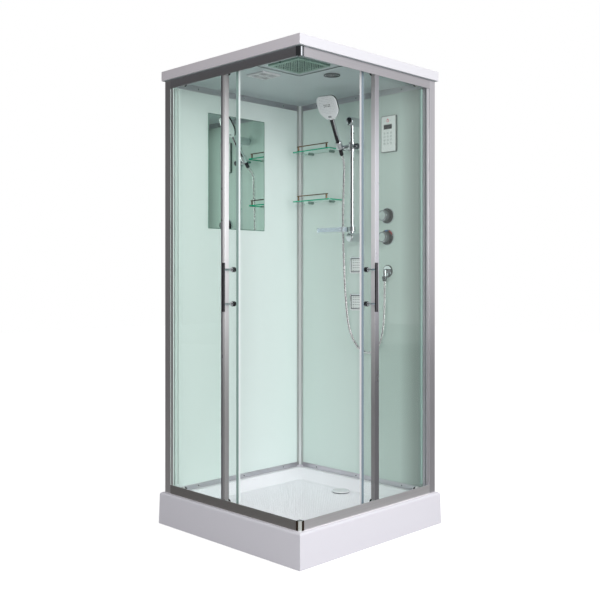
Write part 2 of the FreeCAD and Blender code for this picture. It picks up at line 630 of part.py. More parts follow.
# Glass walls, each one pane; the back one has holes for what passes through it
glass_low = glass_seat + s.seat_gap
glass_top = top_seat - s.seat_gap
pane_span = (s.seat_gap - post_inner, wall_glass_end)
left_pane = box("wall_glass_left", (-glass_back, -inner_face), pane_span, (glass_low, glass_top))
keep("wall_glass_left", left_pane)
back_pane = box("back_pane", (-wall_glass_end, post_inner - s.seat_gap), (inner_face, glass_back),
                (glass_low, glass_top))
through = (inner_face - s.overrun, glass_back + s.overrun)
holes = [rod("hole_temperature", "y", s.cartridge_hole, (s.valve_x, s.temperature_height), through),
         rod("hole_diverter", "y", s.cartridge_hole, (s.valve_x, s.diverter_height), through),
         rod("hole_outlet", "y", s.stub_hole, (s.valve_x, s.outlet_elbow_height), through),
         rod("hole_jet_low", "y", s.stub_hole, (s.jet_x, s.jet_low), through),
         rod("hole_jet_high", "y", s.stub_hole, (s.jet_x, s.jet_high), through)]
keep("wall_glass_back", cut("wall_glass_back", back_pane, *holes))

# Fixed glass of the door sides, in gaskets in the rails and in the post's slot
fixed_low = rail_low + wall + s.seal_floor
fixed_top = frame_top - wall - s.seal_floor
fixed_deep = (fixed_y - half_glass, fixed_y + half_glass)
fixed_start = step + s.seat_gap
fixed_pane = box("fixed_glass_front", (fixed_start, s.fixed_glass_end), fixed_deep, (fixed_low, fixed_top))
fixed_front = keep("fixed_glass_front", fixed_pane)
keep("fixed_glass_right", twin("fixed_glass_right", fixed_front))

gasket_out = face + wall
gasket_in = fixed_y + half_glass + s.lip_gap
gaskets = []
for label, base, floor, lips in (
        ("bottom", rail_low + wall, fixed_low, rail_low + wall + s.seal_tall),
        ("top", frame_top - wall, fixed_top, frame_top - wall - s.seal_tall)):
    gasket_outline = [(gasket_out, base), (gasket_in, base), (gasket_in, lips), (fixed_deep[1], lips),
                      (fixed_deep[1], floor), (fixed_deep[0], floor), (fixed_deep[0], lips), (gasket_out, lips)]
    gaskets.append(extrusion(f"gasket_{label}", "x", gasket_outline, (fixed_start, s.fixed_glass_end)))
gaskets += [twin(f"gasket_right_{k}", gasket) for k, gasket in enumerate(gaskets, 1)]
keep("glazing_seals", group("glazing_seals", *gaskets))

# Profile on the fixed glass's free edge, between the two rails
edge_start = s.fixed_glass_end + s.edge_profile_over - s.edge_profile_wide
edge_end = s.fixed_glass_end + s.edge_profile_over
edge_out = face + s.seat_gap
edge_in = face + s.edge_profile_back
edge_bottom = rail_low + s.rail_tall + s.seat_gap
edge_top = frame_top - s.rail_tall - s.seat_gap
slot_end = s.fixed_glass_end + s.seat_gap
edge_outline = [(edge_start, edge_out), (edge_end, edge_out), (edge_end, edge_in), (edge_start, edge_in),
                (edge_start, slot_in), (slot_end, slot_in), (slot_end, slot_out), (edge_start, slot_out)]
front_edge = extrusion("edge_profile_front", "z", edge_outline, (edge_bottom, edge_top))
keep("fixed_edge_profiles", group("fixed_edge_profiles", front_edge, twin("edge_profile_right", front_edge)))

# Doors: pane with axle and handle holes, seals, axles, wheels and handle
door_low = rail_low + s.door_rail_gap
door_top = frame_top - s.door_rail_gap
door_deep = (door_y - half_glass, door_y + half_glass)
wheel_low = rail_low + s.rib_tall + s.groove_gap + s.groove_radius
wheel_high = frame_top - s.rib_tall - s.groove_gap - s.groove_radius
wheel_rear_x = s.door_start + s.wheel_rear_inset
wheel_front_x = s.door_lead - s.wheel_front_inset
wheel_places = [(wheel_rear_x, wheel_low), (wheel_front_x, wheel_low),
                (wheel_rear_x, wheel_high), (wheel_front_x, wheel_high)]
wheel_names = ["bottom_rear", "bottom_front", "top_rear", "top_front"]
handle_x = s.door_lead - s.handle_inset
handle_places = [(handle_x, s.handle_low), (handle_x, s.handle_low + s.handle_spacing)]
door_through = (door_deep[0] - s.overrun, door_deep[1] + s.overrun)
door_pane = box("door_pane", (s.door_start, s.door_lead), door_deep, (door_low, door_top))
door_holes = [rod(f"door_hole_{k}", "y", s.axle_radius + s.seat_gap, place, door_through)
              for k, place in enumerate(wheel_places, 1)]
door_holes += [rod(f"handle_hole_{k}", "y", s.handle_rod_radius + s.seat_gap, place, door_through)
               for k, place in enumerate(handle_places, 1)]
door_front = keep("door_glass_front", cut("door_glass_front", door_pane, *door_holes))
keep("door_glass_right", twin("door_glass_right", door_front))

seal_half = s.door_seal_wide / 2
lead_start = s.door_lead - s.door_seal_out
lead_end = s.door_lead + s.door_seal_out
lead_outline = [(lead_start, door_y - seal_half), (lead_end, door_y - seal_half),
                (lead_end, door_y + seal_half), (lead_start, door_y + seal_half),
                (lead_start, door_deep[1]), (s.door_lead, door_deep[1]), (s.door_lead, door_deep[0]),
                (lead_start, door_deep[0])]
lead_seal = extrusion("lead_seal", "z", lead_outline, (door_low, door_top))
brush_out = edge_in + s.seat_gap
brush = box("brush_seal", (s.door_start, s.door_start + s.brush_wide), (brush_out, door_deep[0]),
            (door_low + s.brush_short, door_top - s.brush_short))
front_seals = keep("door_seals_front", group("door_seals_front", lead_seal, brush))
keep("door_seals_right", twin("door_seals_right", front_seals))

wheel_half = s.wheel_wide / 2
wheel_out = rib_y - wheel_half
wheel_in = rib_y + wheel_half
axle_outline = [(0, wheel_out - s.seat_gap - s.axle_head_thick),
                (s.axle_head_radius, wheel_out - s.seat_gap - s.axle_head_thick),
                (s.axle_head_radius, wheel_out - s.seat_gap), (s.axle_radius, wheel_out - s.seat_gap),
                (s.axle_radius, wheel_in + s.seat_gap), (s.spacer_radius, wheel_in + s.seat_gap),
                (s.spacer_radius, door_deep[0]), (s.axle_radius, door_deep[0]), (s.axle_radius, door_deep[1]),
                (s.cap_radius, door_deep[1]), (s.cap_radius, door_deep[1] + s.cap_thick - s.cap_round),
                (s.cap_radius - s.cap_round, door_deep[1] + s.cap_thick), (0, door_deep[1] + s.cap_thick)]
axles = [turned(f"axle_{name}", axle_outline, "y", place) for name, place in zip(wheel_names, wheel_places)]
front_axles = keep("roller_axles_front", group("roller_axles_front", *axles))
keep("roller_axles_right", twin("roller_axles_right", front_axles))

bore = s.axle_radius + s.shaft_gap
groove_half = s.rib_wide / 2 + s.groove_gap
wheel_outline = [(bore, wheel_out), (s.wheel_radius, wheel_out), (s.wheel_radius, rib_y - groove_half),
                 (s.groove_radius, rib_y - groove_half), (s.groove_radius, rib_y + groove_half),
                 (s.wheel_radius, rib_y + groove_half), (s.wheel_radius, wheel_in), (bore, wheel_in)]
front_wheels = [keep(f"wheel_front_{name}", turned(f"wheel_front_{name}", wheel_outline, "y", place))
                for name, place in zip(wheel_names, wheel_places)]
for name, front_wheel in zip(wheel_names, front_wheels):
    keep(f"wheel_right_{name}", twin(f"wheel_right_{name}", front_wheel))

bar_out = face - s.handle_bar_stand
bar_in = bar_out + s.handle_bar_thick
grip_low = s.handle_low - s.handle_bar_over
grip = box("handle_bar", around(handle_x, s.handle_bar_wide), (bar_out, bar_in),
           (grip_low, grip_low + s.handle_bar_long))
grip = rounded("handle_bar_round", grip, s.handle_bar_round, level("y", bar_out))
rods = [rod(f"handle_rod_{k}", "y", s.handle_rod_radius, place, (bar_in - s.handle_bar_round, door_deep[1]))
        for k, place in enumerate(handle_places, 1)]
washers = [rod(f"handle_washer_{k}", "y", s.handle_washer_radius, place,
               (door_deep[0] - s.handle_washer_thick, door_deep[0]))
           for k, place in enumerate(handle_places, 1)]
knob_span = (door_deep[1], door_deep[1] + s.handle_knob_long)
knobs = [rod(f"handle_knob_{k}", "y", s.handle_knob_radius, place, knob_span)
         for k, place in enumerate(handle_places, 1)]
front_handle = keep("door_handle_front",
                    group("door_handle_front", fuse("handle_grip", grip, *rods, *washers), *knobs))
keep("door_handle_right", twin("door_handle_right", front_handle))

# Roof: rim, ceiling slab with sloped sides to it, open tray above
roof_low = frame_top
roof_top = roof_low + s.roof_rim_tall
ceiling = roof_low + s.ceiling_rise
slab_top = ceiling + s.ceiling_thick
roof_half = s.roof_side / 2
roof = box("roof_block", (-roof_half, roof_half), (-roof_half, roof_half), (roof_low, roof_top))
roof = rounded("roof_corners", roof, s.roof_corner_round, upright)
roof = rounded("roof_edges", roof, s.roof_round, level("z", roof_low))
pan_half = roof_half - s.roof_wall
pan = box("roof_pan", (-pan_half, pan_half), (-pan_half, pan_half), (slab_top, roof_top + s.overrun))
coffer = frustum("roof_coffer", s.ceiling_side / 2, s.ceiling_side / 2 - s.ceiling_slope, roof_low, ceiling)
coffer = rounded("roof_coffer_round", coffer, s.basin_round, upright)
rain_top = ceiling + s.rain_recess_deep
rain_recess = box("rain_recess", around(s.rain_x, s.rain_recess_side), around(s.rain_y, s.rain_recess_side),
                  (ceiling - s.overrun, rain_top))
above = (roof_low - s.overrun, slab_top + s.overrun)
roof_holes = [rod("rain_hole", "z", s.inlet_radius + s.seat_gap, (s.rain_x, s.rain_y), above),
              rod("fan_hole", "z", s.fan_bore_radius, (s.fan_x, s.fan_y), above),
              rod("speaker_hole", "z", s.speaker_body_radius + s.seat_gap, (s.speaker_x, s.speaker_y), above),
              rod("pipe_hole", "z", s.pipe_radius + s.seat_gap, (s.valve_x, s.valve_y), above)]
keep("roof_canopy", cut("roof_canopy", roof, pan, coffer, rain_recess, *roof_holes))

# Rain head: square plate with rows of nozzles and an inlet stub through the ceiling
plate_low = rain_top - s.rain_thick
plate = box("rain_plate", around(s.rain_x, s.rain_side), around(s.rain_y, s.rain_side), (plate_low, rain_top))
plate = rounded("rain_plate_round", plate, s.rain_round, upright)
pipe_line = slab_top + s.pipe_radius + s.rain_thick / 2
nozzle_row = int(s.rain_side.value / s.nozzle_pitch.value) - 1
nozzles = []
for row in range(nozzle_row):
    for column in range(nozzle_row):
        place = (s.rain_x + s.nozzle_pitch * (column - (nozzle_row - 1) / 2),
                 s.rain_y + s.nozzle_pitch * (row - (nozzle_row - 1) / 2))
        nozzles.append(rod(f"nozzle_{row}_{column}", "z", s.nozzle_radius, place,
                           (plate_low - s.nozzle_long, plate_low + s.nozzle_long)))
inlet_stub = rod("rain_inlet", "z", s.inlet_radius, (s.rain_x, s.rain_y),
                 (rain_top - s.overrun, slab_top + s.overrun))
keep("rain_head", fuse("rain_head", plate, inlet_stub, *nozzles))

# Fan: grille below the ceiling, box with bore and bridge above it, wheel on the bridge's pin
fan = (s.fan_x, s.fan_y)
grille_low = ceiling - s.grille_thick
grille = box("grille_plate", around(s.fan_x, s.grille_side), around(s.fan_y, s.grille_side),
             (grille_low, ceiling))
grille_cross = s.grille_frame / 2
quarter = s.grille_side / 2 - s.grille_frame - grille_cross
slots = []
slot_count = int(quarter.value / s.grille_slot_pitch.value)
for side_x in (-1, 1):
    ends = sorted([s.fan_x + grille_cross * side_x, s.fan_x + (grille_cross + quarter) * side_x], key=amount)
    for side_y in (-1, 1):
        for k in range(slot_count):
            from_middle = grille_cross + s.grille_slot_pitch / 2 + s.grille_slot_pitch * k
            slots.append(box(f"slot_{side_x}_{side_y}_{k}", tuple(ends),
                             around(s.fan_y + from_middle * side_y, s.grille_slot),
                             (grille_low - s.overrun, ceiling + s.overrun)))
keep("fan_grille", cut("fan_grille", grille, *slots))

fan_top = slab_top + s.fan_box_tall
fan_box = box("fan_box", around(s.fan_x, s.fan_box_side), around(s.fan_y, s.fan_box_side), (slab_top, fan_top))
fan_room = rod("fan_room", "z", s.fan_bore_radius, fan, (slab_top - s.overrun, fan_top + s.overrun))
bridge_low = fan_top - s.fan_bridge_thick
bridge = box("fan_bridge", around(s.fan_x, s.fan_box_side), around(s.fan_y, s.fan_bridge_wide),
             (bridge_low, fan_top))
motor = rod("fan_motor", "z", s.fan_motor_radius, fan, (bridge_low - s.fan_motor_tall, bridge_low + s.overrun))
hub_top = bridge_low - s.fan_motor_tall - s.seat_gap
hub_low = hub_top - s.fan_hub_tall
pin = rod("fan_pin", "z", s.fan_pin_radius, fan, (hub_low, bridge_low))
keep("fan_housing", fuse("fan_housing", cut("fan_shell", fan_box, fan_room), bridge, motor, pin))
hub = rod("fan_hub", "z", s.fan_hub_radius, fan, (hub_low, hub_top))
BLADES = 6
hub_radius = amount(s.fan_hub_radius)
blade_long = amount(s.fan_blade_radius) - hub_radius / 2
blade_thick = amount(s.fan_blade_thick)
blade_tall = amount(s.fan_hub_tall) - amount(s.fan_blade_drop) / 2
blade_centre = Vector(amount(s.fan_x), amount(s.fan_y), amount(hub_low + s.fan_hub_tall / 2))
blade_shapes = []
for k in range(BLADES):
    blade = Part.makeBox(blade_long, blade_thick, blade_tall,
                         Vector(hub_radius / 2, -blade_thick / 2, -blade_tall / 2))
    blade.rotate(Vector(), Vector(1, 0, 0), amount(s.fan_blade_tilt))
    blade.rotate(Vector(), Vector(0, 0, 1), WHOLE_TURN * k / BLADES)
    blade.translate(blade_centre)
    blade_shapes.append(blade)
fan_blades = doc.addObject("Part::Feature", "fan_blades")
fan_blades.Shape = blade_shapes[0].multiFuse(blade_shapes[1:])
hub_bore = rod("fan_hub_bore", "z", s.fan_pin_radius + s.shaft_gap, fan,
               (hub_low - s.overrun, hub_top + s.overrun))
keep("fan_impeller", cut("fan_impeller", fuse("fan_wheel", hub, fan_blades), hub_bore))

# Ceiling speaker: grille flange and body, one turned piece
speaker_outline = [(0, ceiling - s.speaker_flange),
                   (s.speaker_radius - s.speaker_flange / 2, ceiling - s.speaker_flange),
                   (s.speaker_radius, ceiling - s.speaker_flange / 2), (s.speaker_radius, ceiling),
                   (s.speaker_body_radius, ceiling), (s.speaker_body_radius, ceiling + s.speaker_body_tall),
                   (0, ceiling + s.speaker_body_tall)]
keep("ceiling_speaker", turned("ceiling_speaker", speaker_outline, "z", (s.speaker_x, s.speaker_y)))

# Mirror on the left wall
keep("wall_mirror", box("wall_mirror", (-inner_face, s.mirror_thick - inner_face),
                        (-s.mirror_front, s.mirror_back), (s.mirror_low, s.mirror_top)))

# Control panel on the back wall, with a recess for its display
panel_face = inner_face - s.panel_thick
panel_start = s.valve_x - s.panel_shift
panel = box("panel_case", (panel_start, panel_start + s.panel_wide), (panel_face, inner_face),
            (s.panel_low, s.panel_low + s.panel_tall))
panel = rounded("panel_round", panel, s.panel_round, along("y"))
display_start = panel_start + s.display_inset
display_low = s.panel_low + s.display_rise
display = box("display_space", (display_start, display_start + s.display_wide),
              (panel_face - s.overrun, panel_face + s.display_deep),
              (display_low, display_low + s.display_tall))
keep("control_panel", cut("control_panel", panel, display))

# Mixer and diverter: one body behind the wall, its two cartridges and their round plates
valve = (s.valve_x, s.valve_y)
valve_body = rod("valve_body", "z", s.valve_radius, valve, (s.valve_low, s.valve_top))
cartridges = []
plates = []
knob_start = inner_face - s.plate_thick - s.knob_stand
for label, height in (("temperature", s.temperature_height), ("diverter", s.diverter_height)):
    line = (s.valve_x, height)
    cartridges.append(rod(f"cartridge_{label}", "y", s.cartridge_radius, line,
                          (inner_face - s.plate_thick, s.valve_y)))
    cartridges.append(rod(f"spindle_{label}", "y", s.spindle_radius, line,
                          (inner_face - s.spindle_reach, inner_face)))
    plate_outline = [(s.plate_bore, inner_face), (s.plate_bore, inner_face - s.plate_thick),
                     (s.plate_radius - s.plate_round, inner_face - s.plate_thick),
                     (s.plate_radius, inner_face - s.plate_thick + s.plate_round), (s.plate_radius, inner_face)]
    plates.append(turned(f"plate_{label}", plate_outline, "y", line))
inlet_middle = (s.valve_low + s.valve_top) / 2
nipples = []
nipple_bores = []
manifold = box("valve_manifold", around(s.valve_x, s.inlet_spacing), around(s.valve_y, s.valve_radius * 2),
               around(inlet_middle, s.valve_radius * 2))
nipple_reach = s.valve_y + s.inlet_nipple_long
for label, place in (("hot", s.valve_x - s.inlet_spacing / 2), ("cold", s.valve_x + s.inlet_spacing / 2)):
    line = (place, inlet_middle)
    nipples.append(rod(f"nipple_{label}", "y", s.inlet_nipple_radius, line, (s.valve_y, nipple_reach)))
    nipples.append(rod(f"nipple_end_{label}", "y", s.valve_radius, line, around(s.valve_y, s.valve_radius * 2)))
    nipple_bores.append(rod(f"nipple_bore_{label}", "y", s.inlet_bore, line,
                            (s.valve_y, nipple_reach + s.overrun)))
valve_whole = fuse("valve_whole", valve_body, manifold, *cartridges, *nipples)
keep("mixer_valve", group("mixer_valve", cut("valve_bored", valve_whole, *nipple_bores), *plates))

# Knobs: each turns on its spindle
knob_end = knob_start - s.knob_long
socket = s.spindle_radius + s.shaft_gap
socket_end = knob_start - s.knob_socket_deep - s.seat_gap
knob_outline = [(socket, knob_start), (s.knob_radius - s.knob_round, knob_start),
                (s.knob_radius, knob_start - s.knob_round), (s.knob_radius, knob_end + s.knob_round),
                (s.knob_radius - s.knob_round, knob_end), (0, knob_end), (0, socket_end - s.seat_gap),
                (socket, socket_end - s.seat_gap)]
for label, height in (("temperature", s.temperature_height), ("diverter", s.diverter_height)):
    keep(f"{label}_knob", turned(f"{label}_knob", knob_outline, "y", (s.valve_x, height)))

# Wall outlet: rosette, elbow and the hose's lower nut
elbow_line = (s.valve_x, s.outlet_elbow_height)
elbow_y = inner_face - s.elbow_stand
rosette_outline = [(0, inner_face), (0, inner_face - s.rosette_thick),
                   (s.rosette_radius - s.rosette_thick / 2, inner_face - s.rosette_thick),
                   (s.rosette_radius, inner_face - s.rosette_thick / 2), (s.rosette_radius, inner_face)]
rosette = turned("outlet_rosette", rosette_outline, "y", elbow_line)
neck = rod("outlet_neck", "y", s.elbow_radius, elbow_line, (elbow_y, inner_face))
rear_stub = rod("outlet_stub", "y", s.stub_radius, elbow_line,
                (inner_face - s.rosette_thick, s.valve_y - s.pipe_radius))
nut_top = s.hose_start + s.hose_nut_long
knee = ball("outlet_knee", s.elbow_radius, s.valve_x, elbow_y, s.outlet_elbow_height)
down = rod("outlet_down", "z", s.elbow_radius, (s.valve_x, elbow_y),
           (nut_top - s.overrun, s.outlet_elbow_height))
lower_nut = turned("outlet_nut", [(0, s.hose_start), (s.hose_radius + s.overrun, s.hose_start),
                                  (s.hose_nut_radius + s.overrun / 2, s.hose_start + s.hose_nut_long / 2),
                                  (s.hose_nut_radius + s.overrun / 2, nut_top), (0, nut_top)],
                   "z", (s.valve_x, elbow_y))
keep("wall_outlet_elbow", fuse("wall_outlet_elbow", rosette, neck, rear_stub, knee, down, lower_nut))

# Body jets: square plates with a raised rim, each on a threaded stem with a nut behind the wall
jets = []
for label, height in (("low", s.jet_low), ("high", s.jet_high)):
    jet_face = inner_face - s.jet_thick
    block = box(f"jet_block_{label}", around(s.jet_x, s.jet_side), (jet_face, inner_face),
                around(height, s.jet_side))
    block = rounded(f"jet_round_{label}", block, s.jet_round, along("y"))
    inner_side = s.jet_side - s.jet_face_inset * 2
    dish = box(f"jet_face_{label}", around(s.jet_x, inner_side),
               (jet_face - s.overrun, jet_face + s.jet_face_deep), around(height, inner_side))
    stem = rod(f"jet_stem_{label}", "y", s.stub_radius, (s.jet_x, height),
               (inner_face - s.jet_thick / 2, s.valve_y - s.pipe_radius))
    nut = rod(f"jet_nut_{label}", "y", s.jet_nut_radius, (s.jet_x, height),
              (glass_back + s.seat_gap, glass_back + s.seat_gap + s.jet_nut_thick))
    jets.append(fuse(f"jet_{label}", cut(f"jet_plate_{label}", block, dish), stem, nut))
keep("body_jets", group("body_jets", *jets))

# Supply pipes behind the back wall and over the ceiling
pipe_runs = [("z", (s.valve_x, s.valve_y), (s.branch_height, s.valve_low)),
             ("z", (s.valve_x, s.valve_y), (s.valve_top, pipe_line)),
             ("x", (s.valve_y, s.branch_height), (s.jet_x, s.valve_x)),
             ("z", (s.jet_x, s.valve_y), (s.jet_low, s.jet_high)),
             ("y", (s.valve_x, pipe_line), (s.rain_y, s.valve_y)),
             ("x", (s.rain_y, pipe_line), tuple(sorted([s.valve_x, s.rain_x], key=amount))),
             ("z", (s.rain_x, s.rain_y), (slab_top + s.overrun + s.seat_gap, pipe_line))]
pipe_corners = [(s.valve_x, s.valve_y, s.branch_height), (s.jet_x, s.valve_y, s.branch_height),
                (s.jet_x, s.valve_y, s.jet_low), (s.jet_x, s.valve_y, s.jet_high),
                (s.valve_x, s.valve_y, pipe_line), (s.valve_x, s.rain_y, pipe_line),
                (s.rain_x, s.rain_y, pipe_line)]


def pipework(label, radius):
    """Every run and corner of the supply pipes, with one radius."""
    runs = [rod(f"{label}_run_{k}", axis, radius, centre, span)
            for k, (axis, centre, span) in enumerate(pipe_runs, 1)]
    elbows = [ball(f"{label}_elbow_{k}", radius, *place) for k, place in enumerate(pipe_corners, 1)]
    return fuse(label, *runs, *elbows)


pipe_outside = pipework("pipe_outside", s.pipe_radius)
pipe_inside = pipework("pipe_inside", s.pipe_radius - s.pipe_wall)
keep("supply_pipes", cut("supply_pipes", pipe_outside, pipe_inside))

# Slide bar with its two brackets
bar = (s.bar_x, s.bar_y)
brackets = []
bracket_reach = inner_face - s.bracket_long
for label, height in (("low", s.bracket_low), ("high", s.bracket_high)):
    bracket_outline = [(0, inner_face), (0, bracket_reach), (s.bracket_radius - s.bracket_round, bracket_reach),
                       (s.bracket_radius, bracket_reach + s.bracket_round), (s.bracket_radius, inner_face)]
    brackets.append(turned(f"bracket_{label}", bracket_outline, "y", (s.bar_x, height)))
bar_tube = rod("slide_tube", "z", s.bar_radius, bar, (s.bracket_low - s.bar_over, s.bracket_high + s.bar_over))
keep("slide_bar", fuse("slide_bar", bar_tube, *brackets))

# Slider: clamp round the bar, barrel with a pin for the holder, pin for the clamp knob
slide_bore = s.bar_radius + s.slider_slide
slider_line = (s.bar_y, s.slider_height)
clamp = rod("clamp_ring", "z", s.slider_radius, bar, around(s.slider_height, s.slider_tall))
barrel_end = s.bar_x - s.barrel_long
barrel = rod("clamp_barrel", "x", s.barrel_radius, slider_line, (barrel_end, s.bar_x))
barrel_pin = rod("clamp_barrel_pin", "x", s.barrel_pin_radius, slider_line,
                 (barrel_end - s.barrel_pin_long, s.bar_x))
knob_seat = s.bar_x + s.slider_radius + s.overrun
collar = rod("clamp_collar", "x", s.barrel_radius, slider_line, (s.bar_x, knob_seat))
knob_pin = rod("clamp_knob_pin", "x", s.clamp_pin_radius, slider_line, (s.bar_x, knob_seat + s.clamp_pin_long))
clamp_bore = rod("clamp_bore", "z", slide_bore, bar, around(s.slider_height, s.slider_tall * 2))
clamp_whole = fuse("clamp_whole", clamp, barrel, barrel_pin, collar, knob_pin)
keep("slider_clamp", cut("slider_clamp", clamp_whole, clamp_bore))
pin_bore = s.clamp_pin_radius + s.shaft_gap
knob_low = knob_seat + s.seat_gap
clamp_outline = [(pin_bore, knob_low), (s.clamp_knob_radius - s.clamp_knob_round, knob_low),
                 (s.clamp_knob_radius, knob_low + s.clamp_knob_round),
                 (s.clamp_knob_radius, knob_low + s.clamp_knob_long - s.clamp_knob_round),
                 (s.clamp_knob_radius - s.clamp_knob_round, knob_low + s.clamp_knob_long),
                 (0, knob_low + s.clamp_knob_long), (0, knob_seat + s.clamp_pin_long + s.seat_gap),
                 (pin_bore, knob_seat + s.clamp_pin_long + s.seat_gap)]
keep("clamp_knob", turned("clamp_knob", clamp_outline, "x", slider_line))

# Hand shower: built upright about its own foot, then leaned and turned
hand_place = (s.bar_x - s.hand_shift, s.bar_y - s.hand_stand, s.slider_height + s.hand_rise)
hand_lean = Rotation(Vector(1, 0, 0), amount(s.hand_lean))
hand_turn = Rotation(Vector(0, 0, 1), amount(s.hand_yaw)).multiply(hand_lean)


def in_hand(piece):
    """Lean a piece that was built about the hand shower's foot, and put it in place."""
    piece.Placement = Placement(Vector(), hand_turn)
    move(piece, *hand_place)
    return piece


cup_low = -s.cup_drop
cone_low = -s.cone_drop
nut_low = -s.nut_drop


def cone_radius(height):
    """The radius of the hand shower's foot cone at a height."""
    share = (height - cone_low).value / (s.cone_top - cone_low).value
    return s.cone_low_radius + (s.cone_top_radius - s.cone_low_radius) * share


cup_in_low = cone_radius(cup_low) + s.seat_gap
cup_in_top = cone_radius(s.cup_top) + s.seat_gap
cup = in_hand(turned("holder_cup", [(cup_in_low, cup_low), (cup_in_low + s.cup_wall, cup_low),
                                    (s.cup_radius, s.cup_top - s.cup_wall), (s.cup_radius, s.cup_top),
                                    (cup_in_top, s.cup_top)]))
hub_start = barrel_end - s.seat_gap
hub_cylinder = rod("holder_hub", "x", s.hub_radius, slider_line, (s.bar_x - s.hub_reach, hub_start))
hub_pin_bore = rod("holder_pin_bore", "x", s.barrel_pin_radius + s.shaft_gap, slider_line,
                   (barrel_end - s.barrel_pin_long - s.seat_gap, s.bar_x))
cone_room = in_hand(turned("holder_cone_room", [(0, nut_low), (cup_in_low, nut_low),
                                               (cup_in_low, cup_low), (cup_in_top, s.cup_top),
                                               (cup_in_top, s.cup_top + s.cup_wall * 3),
                                               (0, s.cup_top + s.cup_wall * 3)]))
keep("handset_holder", cut("handset_holder", fuse("holder_whole", cup, hub_cylinder), cone_room, hub_pin_bore))

handle = turned("hand_grip", [(0, nut_low), (s.nut_radius, nut_low), (s.cone_low_radius, cone_low),
                              (s.cone_top_radius, s.cone_top), (s.grip_waist_radius, s.grip_top / 2),
                              (s.grip_radius, s.grip_top), (0, s.grip_top)])
head_half = s.head_wide / 2
head_back = s.head_thick / 2
head_top = s.head_rise + s.head_tall
cheek_z = s.head_rise + s.cheek_rise
head_outline = [(-s.neck_half, s.head_rise), (s.neck_half, s.head_rise), (head_half, cheek_z),
                (head_half, head_top), (-head_half, head_top), (-head_half, cheek_z)]
head = extrusion("head_block", "z", head_outline, (-head_back, head_back))
head.Placement = Placement(Vector(), Rotation(Vector(1, 0, 0), 90))


def high_corner(edge):
    """Whether an edge is one of the two at the top of the head."""
    return along("y")(edge) and edge.BoundBox.ZMin > amount(head_top) - near


def cheek(edge):
    """Whether an edge is one of the two where the head starts to narrow."""
    return along("y")(edge) and abs(edge.BoundBox.ZMin - amount(cheek_z)) < near


head = rounded("head_corners", head, s.head_corner_round, high_corner)
head = rounded("head_cheeks", head, s.cheek_round, cheek)
head = rounded("head_edges", head, s.head_edge_round, level("y", head_back), level("y", -head_back))
button_half = s.button_wide / 2
button_z = s.head_rise + s.button_rise
room_half = button_half + s.button_gap
room_back = s.button_travel + s.seat_gap * 2 - head_back + s.button_stand
button_room = box("button_room", (-room_half, room_half), (-head_back - s.overrun, room_back),
                  (button_z - s.button_gap, button_z + s.button_tall + s.button_gap))
keep("handset", in_hand(cut("handset", fuse("handset_whole", handle, head), button_room)))
button_deep = -head_back + s.button_stand - s.seat_gap
button = box("button_block", (-button_half, button_half), (-head_back - s.button_stand, button_deep),
             (button_z, button_z + s.button_tall))
keep("spray_button", in_hand(group("spray_button", button)))

# Soap dish: clear bowl with a boss and a chrome ring, both round the slide bar
dish_top = s.dish_low + s.dish_tall
dish_start = s.bar_x - s.dish_reach
dish_near = s.bar_y - s.dish_front
dish_far = s.bar_y + s.dish_back
bowl = box("dish_block", (dish_start, s.dish_end), (dish_near, dish_far), (s.dish_low, dish_top))
bowl = rounded("dish_round", bowl, s.dish_round, upright)
hollow_end = s.dish_end - s.dish_ring_radius - s.dish_wall
bowl_room = box("dish_room", (dish_start + s.dish_wall, hollow_end),
                (dish_near + s.dish_wall, dish_far - s.dish_wall),
                (s.dish_low + s.dish_wall, dish_top + s.overrun))
bowl_room = rounded("dish_room_round", bowl_room, s.dish_round - s.dish_wall, upright)
ring_span = (s.dish_low, s.dish_low + s.dish_ring_tall)
dish_arm = box("dish_arm", (s.dish_end, s.bar_x), around(s.bar_y, s.dish_ring_radius), ring_span)
dish_ring = rod("dish_ring", "z", s.dish_ring_radius, bar, ring_span)
dish_bore = rod("dish_bore", "z", slide_bore, bar, (s.dish_low - s.overrun, dish_top + s.dish_ring_tall))
ring_whole = cut("dish_clamp", fuse("dish_ring_arm", dish_ring, dish_arm), dish_bore)
keep("soap_dish", group("soap_dish", cut("dish_bowl", bowl, bowl_room), ring_whole))

# Shelves: glass, and the rails, posts and wall clips that belong to it
shelf_panes = []
fittings = []
shelf_near = inner_face - s.shelf_reach
post_y = shelf_near + s.shelf_post_inset
post_places = (s.shelf_start + s.shelf_post_left, s.shelf_end - s.shelf_post_right)
clip_places = (s.shelf_start + s.shelf_clip_left, s.shelf_end - s.shelf_clip_right)
for label, height in (("low", s.shelf_low), ("high", s.shelf_high)):
    pane = box(f"shelf_{label}", (s.shelf_start, s.shelf_end), (shelf_near, inner_face),
               (height - s.shelf_thick, height))
    shelf_panes.append(rounded(f"shelf_round_{label}", pane, s.shelf_round,
                               lambda edge: upright(edge) and edge.BoundBox.YMax < inner_face.value - near))
    rail_z = height + s.shelf_rail_rise
    posts = [rod(f"shelf_post_{label}_{k}", "z", s.shelf_post_radius, (place, post_y), (height, rail_z))
             for k, place in enumerate(post_places, 1)]
    gallery = rod(f"shelf_rail_{label}", "x", s.shelf_rail_radius, (post_y, rail_z),
                  (post_places[0] - s.shelf_post_inset, post_places[1] + s.shelf_post_inset))
    fittings.append(fuse(f"shelf_gallery_{label}", gallery, *posts))
    for k, place in enumerate(clip_places, 1):
        clip = rod(f"clip_{label}_{k}", "y", s.shelf_clip_radius, (place, height - s.shelf_thick / 2),
                   (inner_face - s.shelf_clip_long, inner_face))
        room = box(f"clip_room_{label}_{k}", around(place, s.shelf_clip_radius * 3),
                   (inner_face - s.shelf_clip_long * 2, inner_face + s.overrun),
                   (height - s.shelf_thick, height))
        fittings.append(cut(f"shelf_clip_{label}_{k}", clip, room))
keep("shelf_glasses", group("shelf_glasses", *shelf_panes))
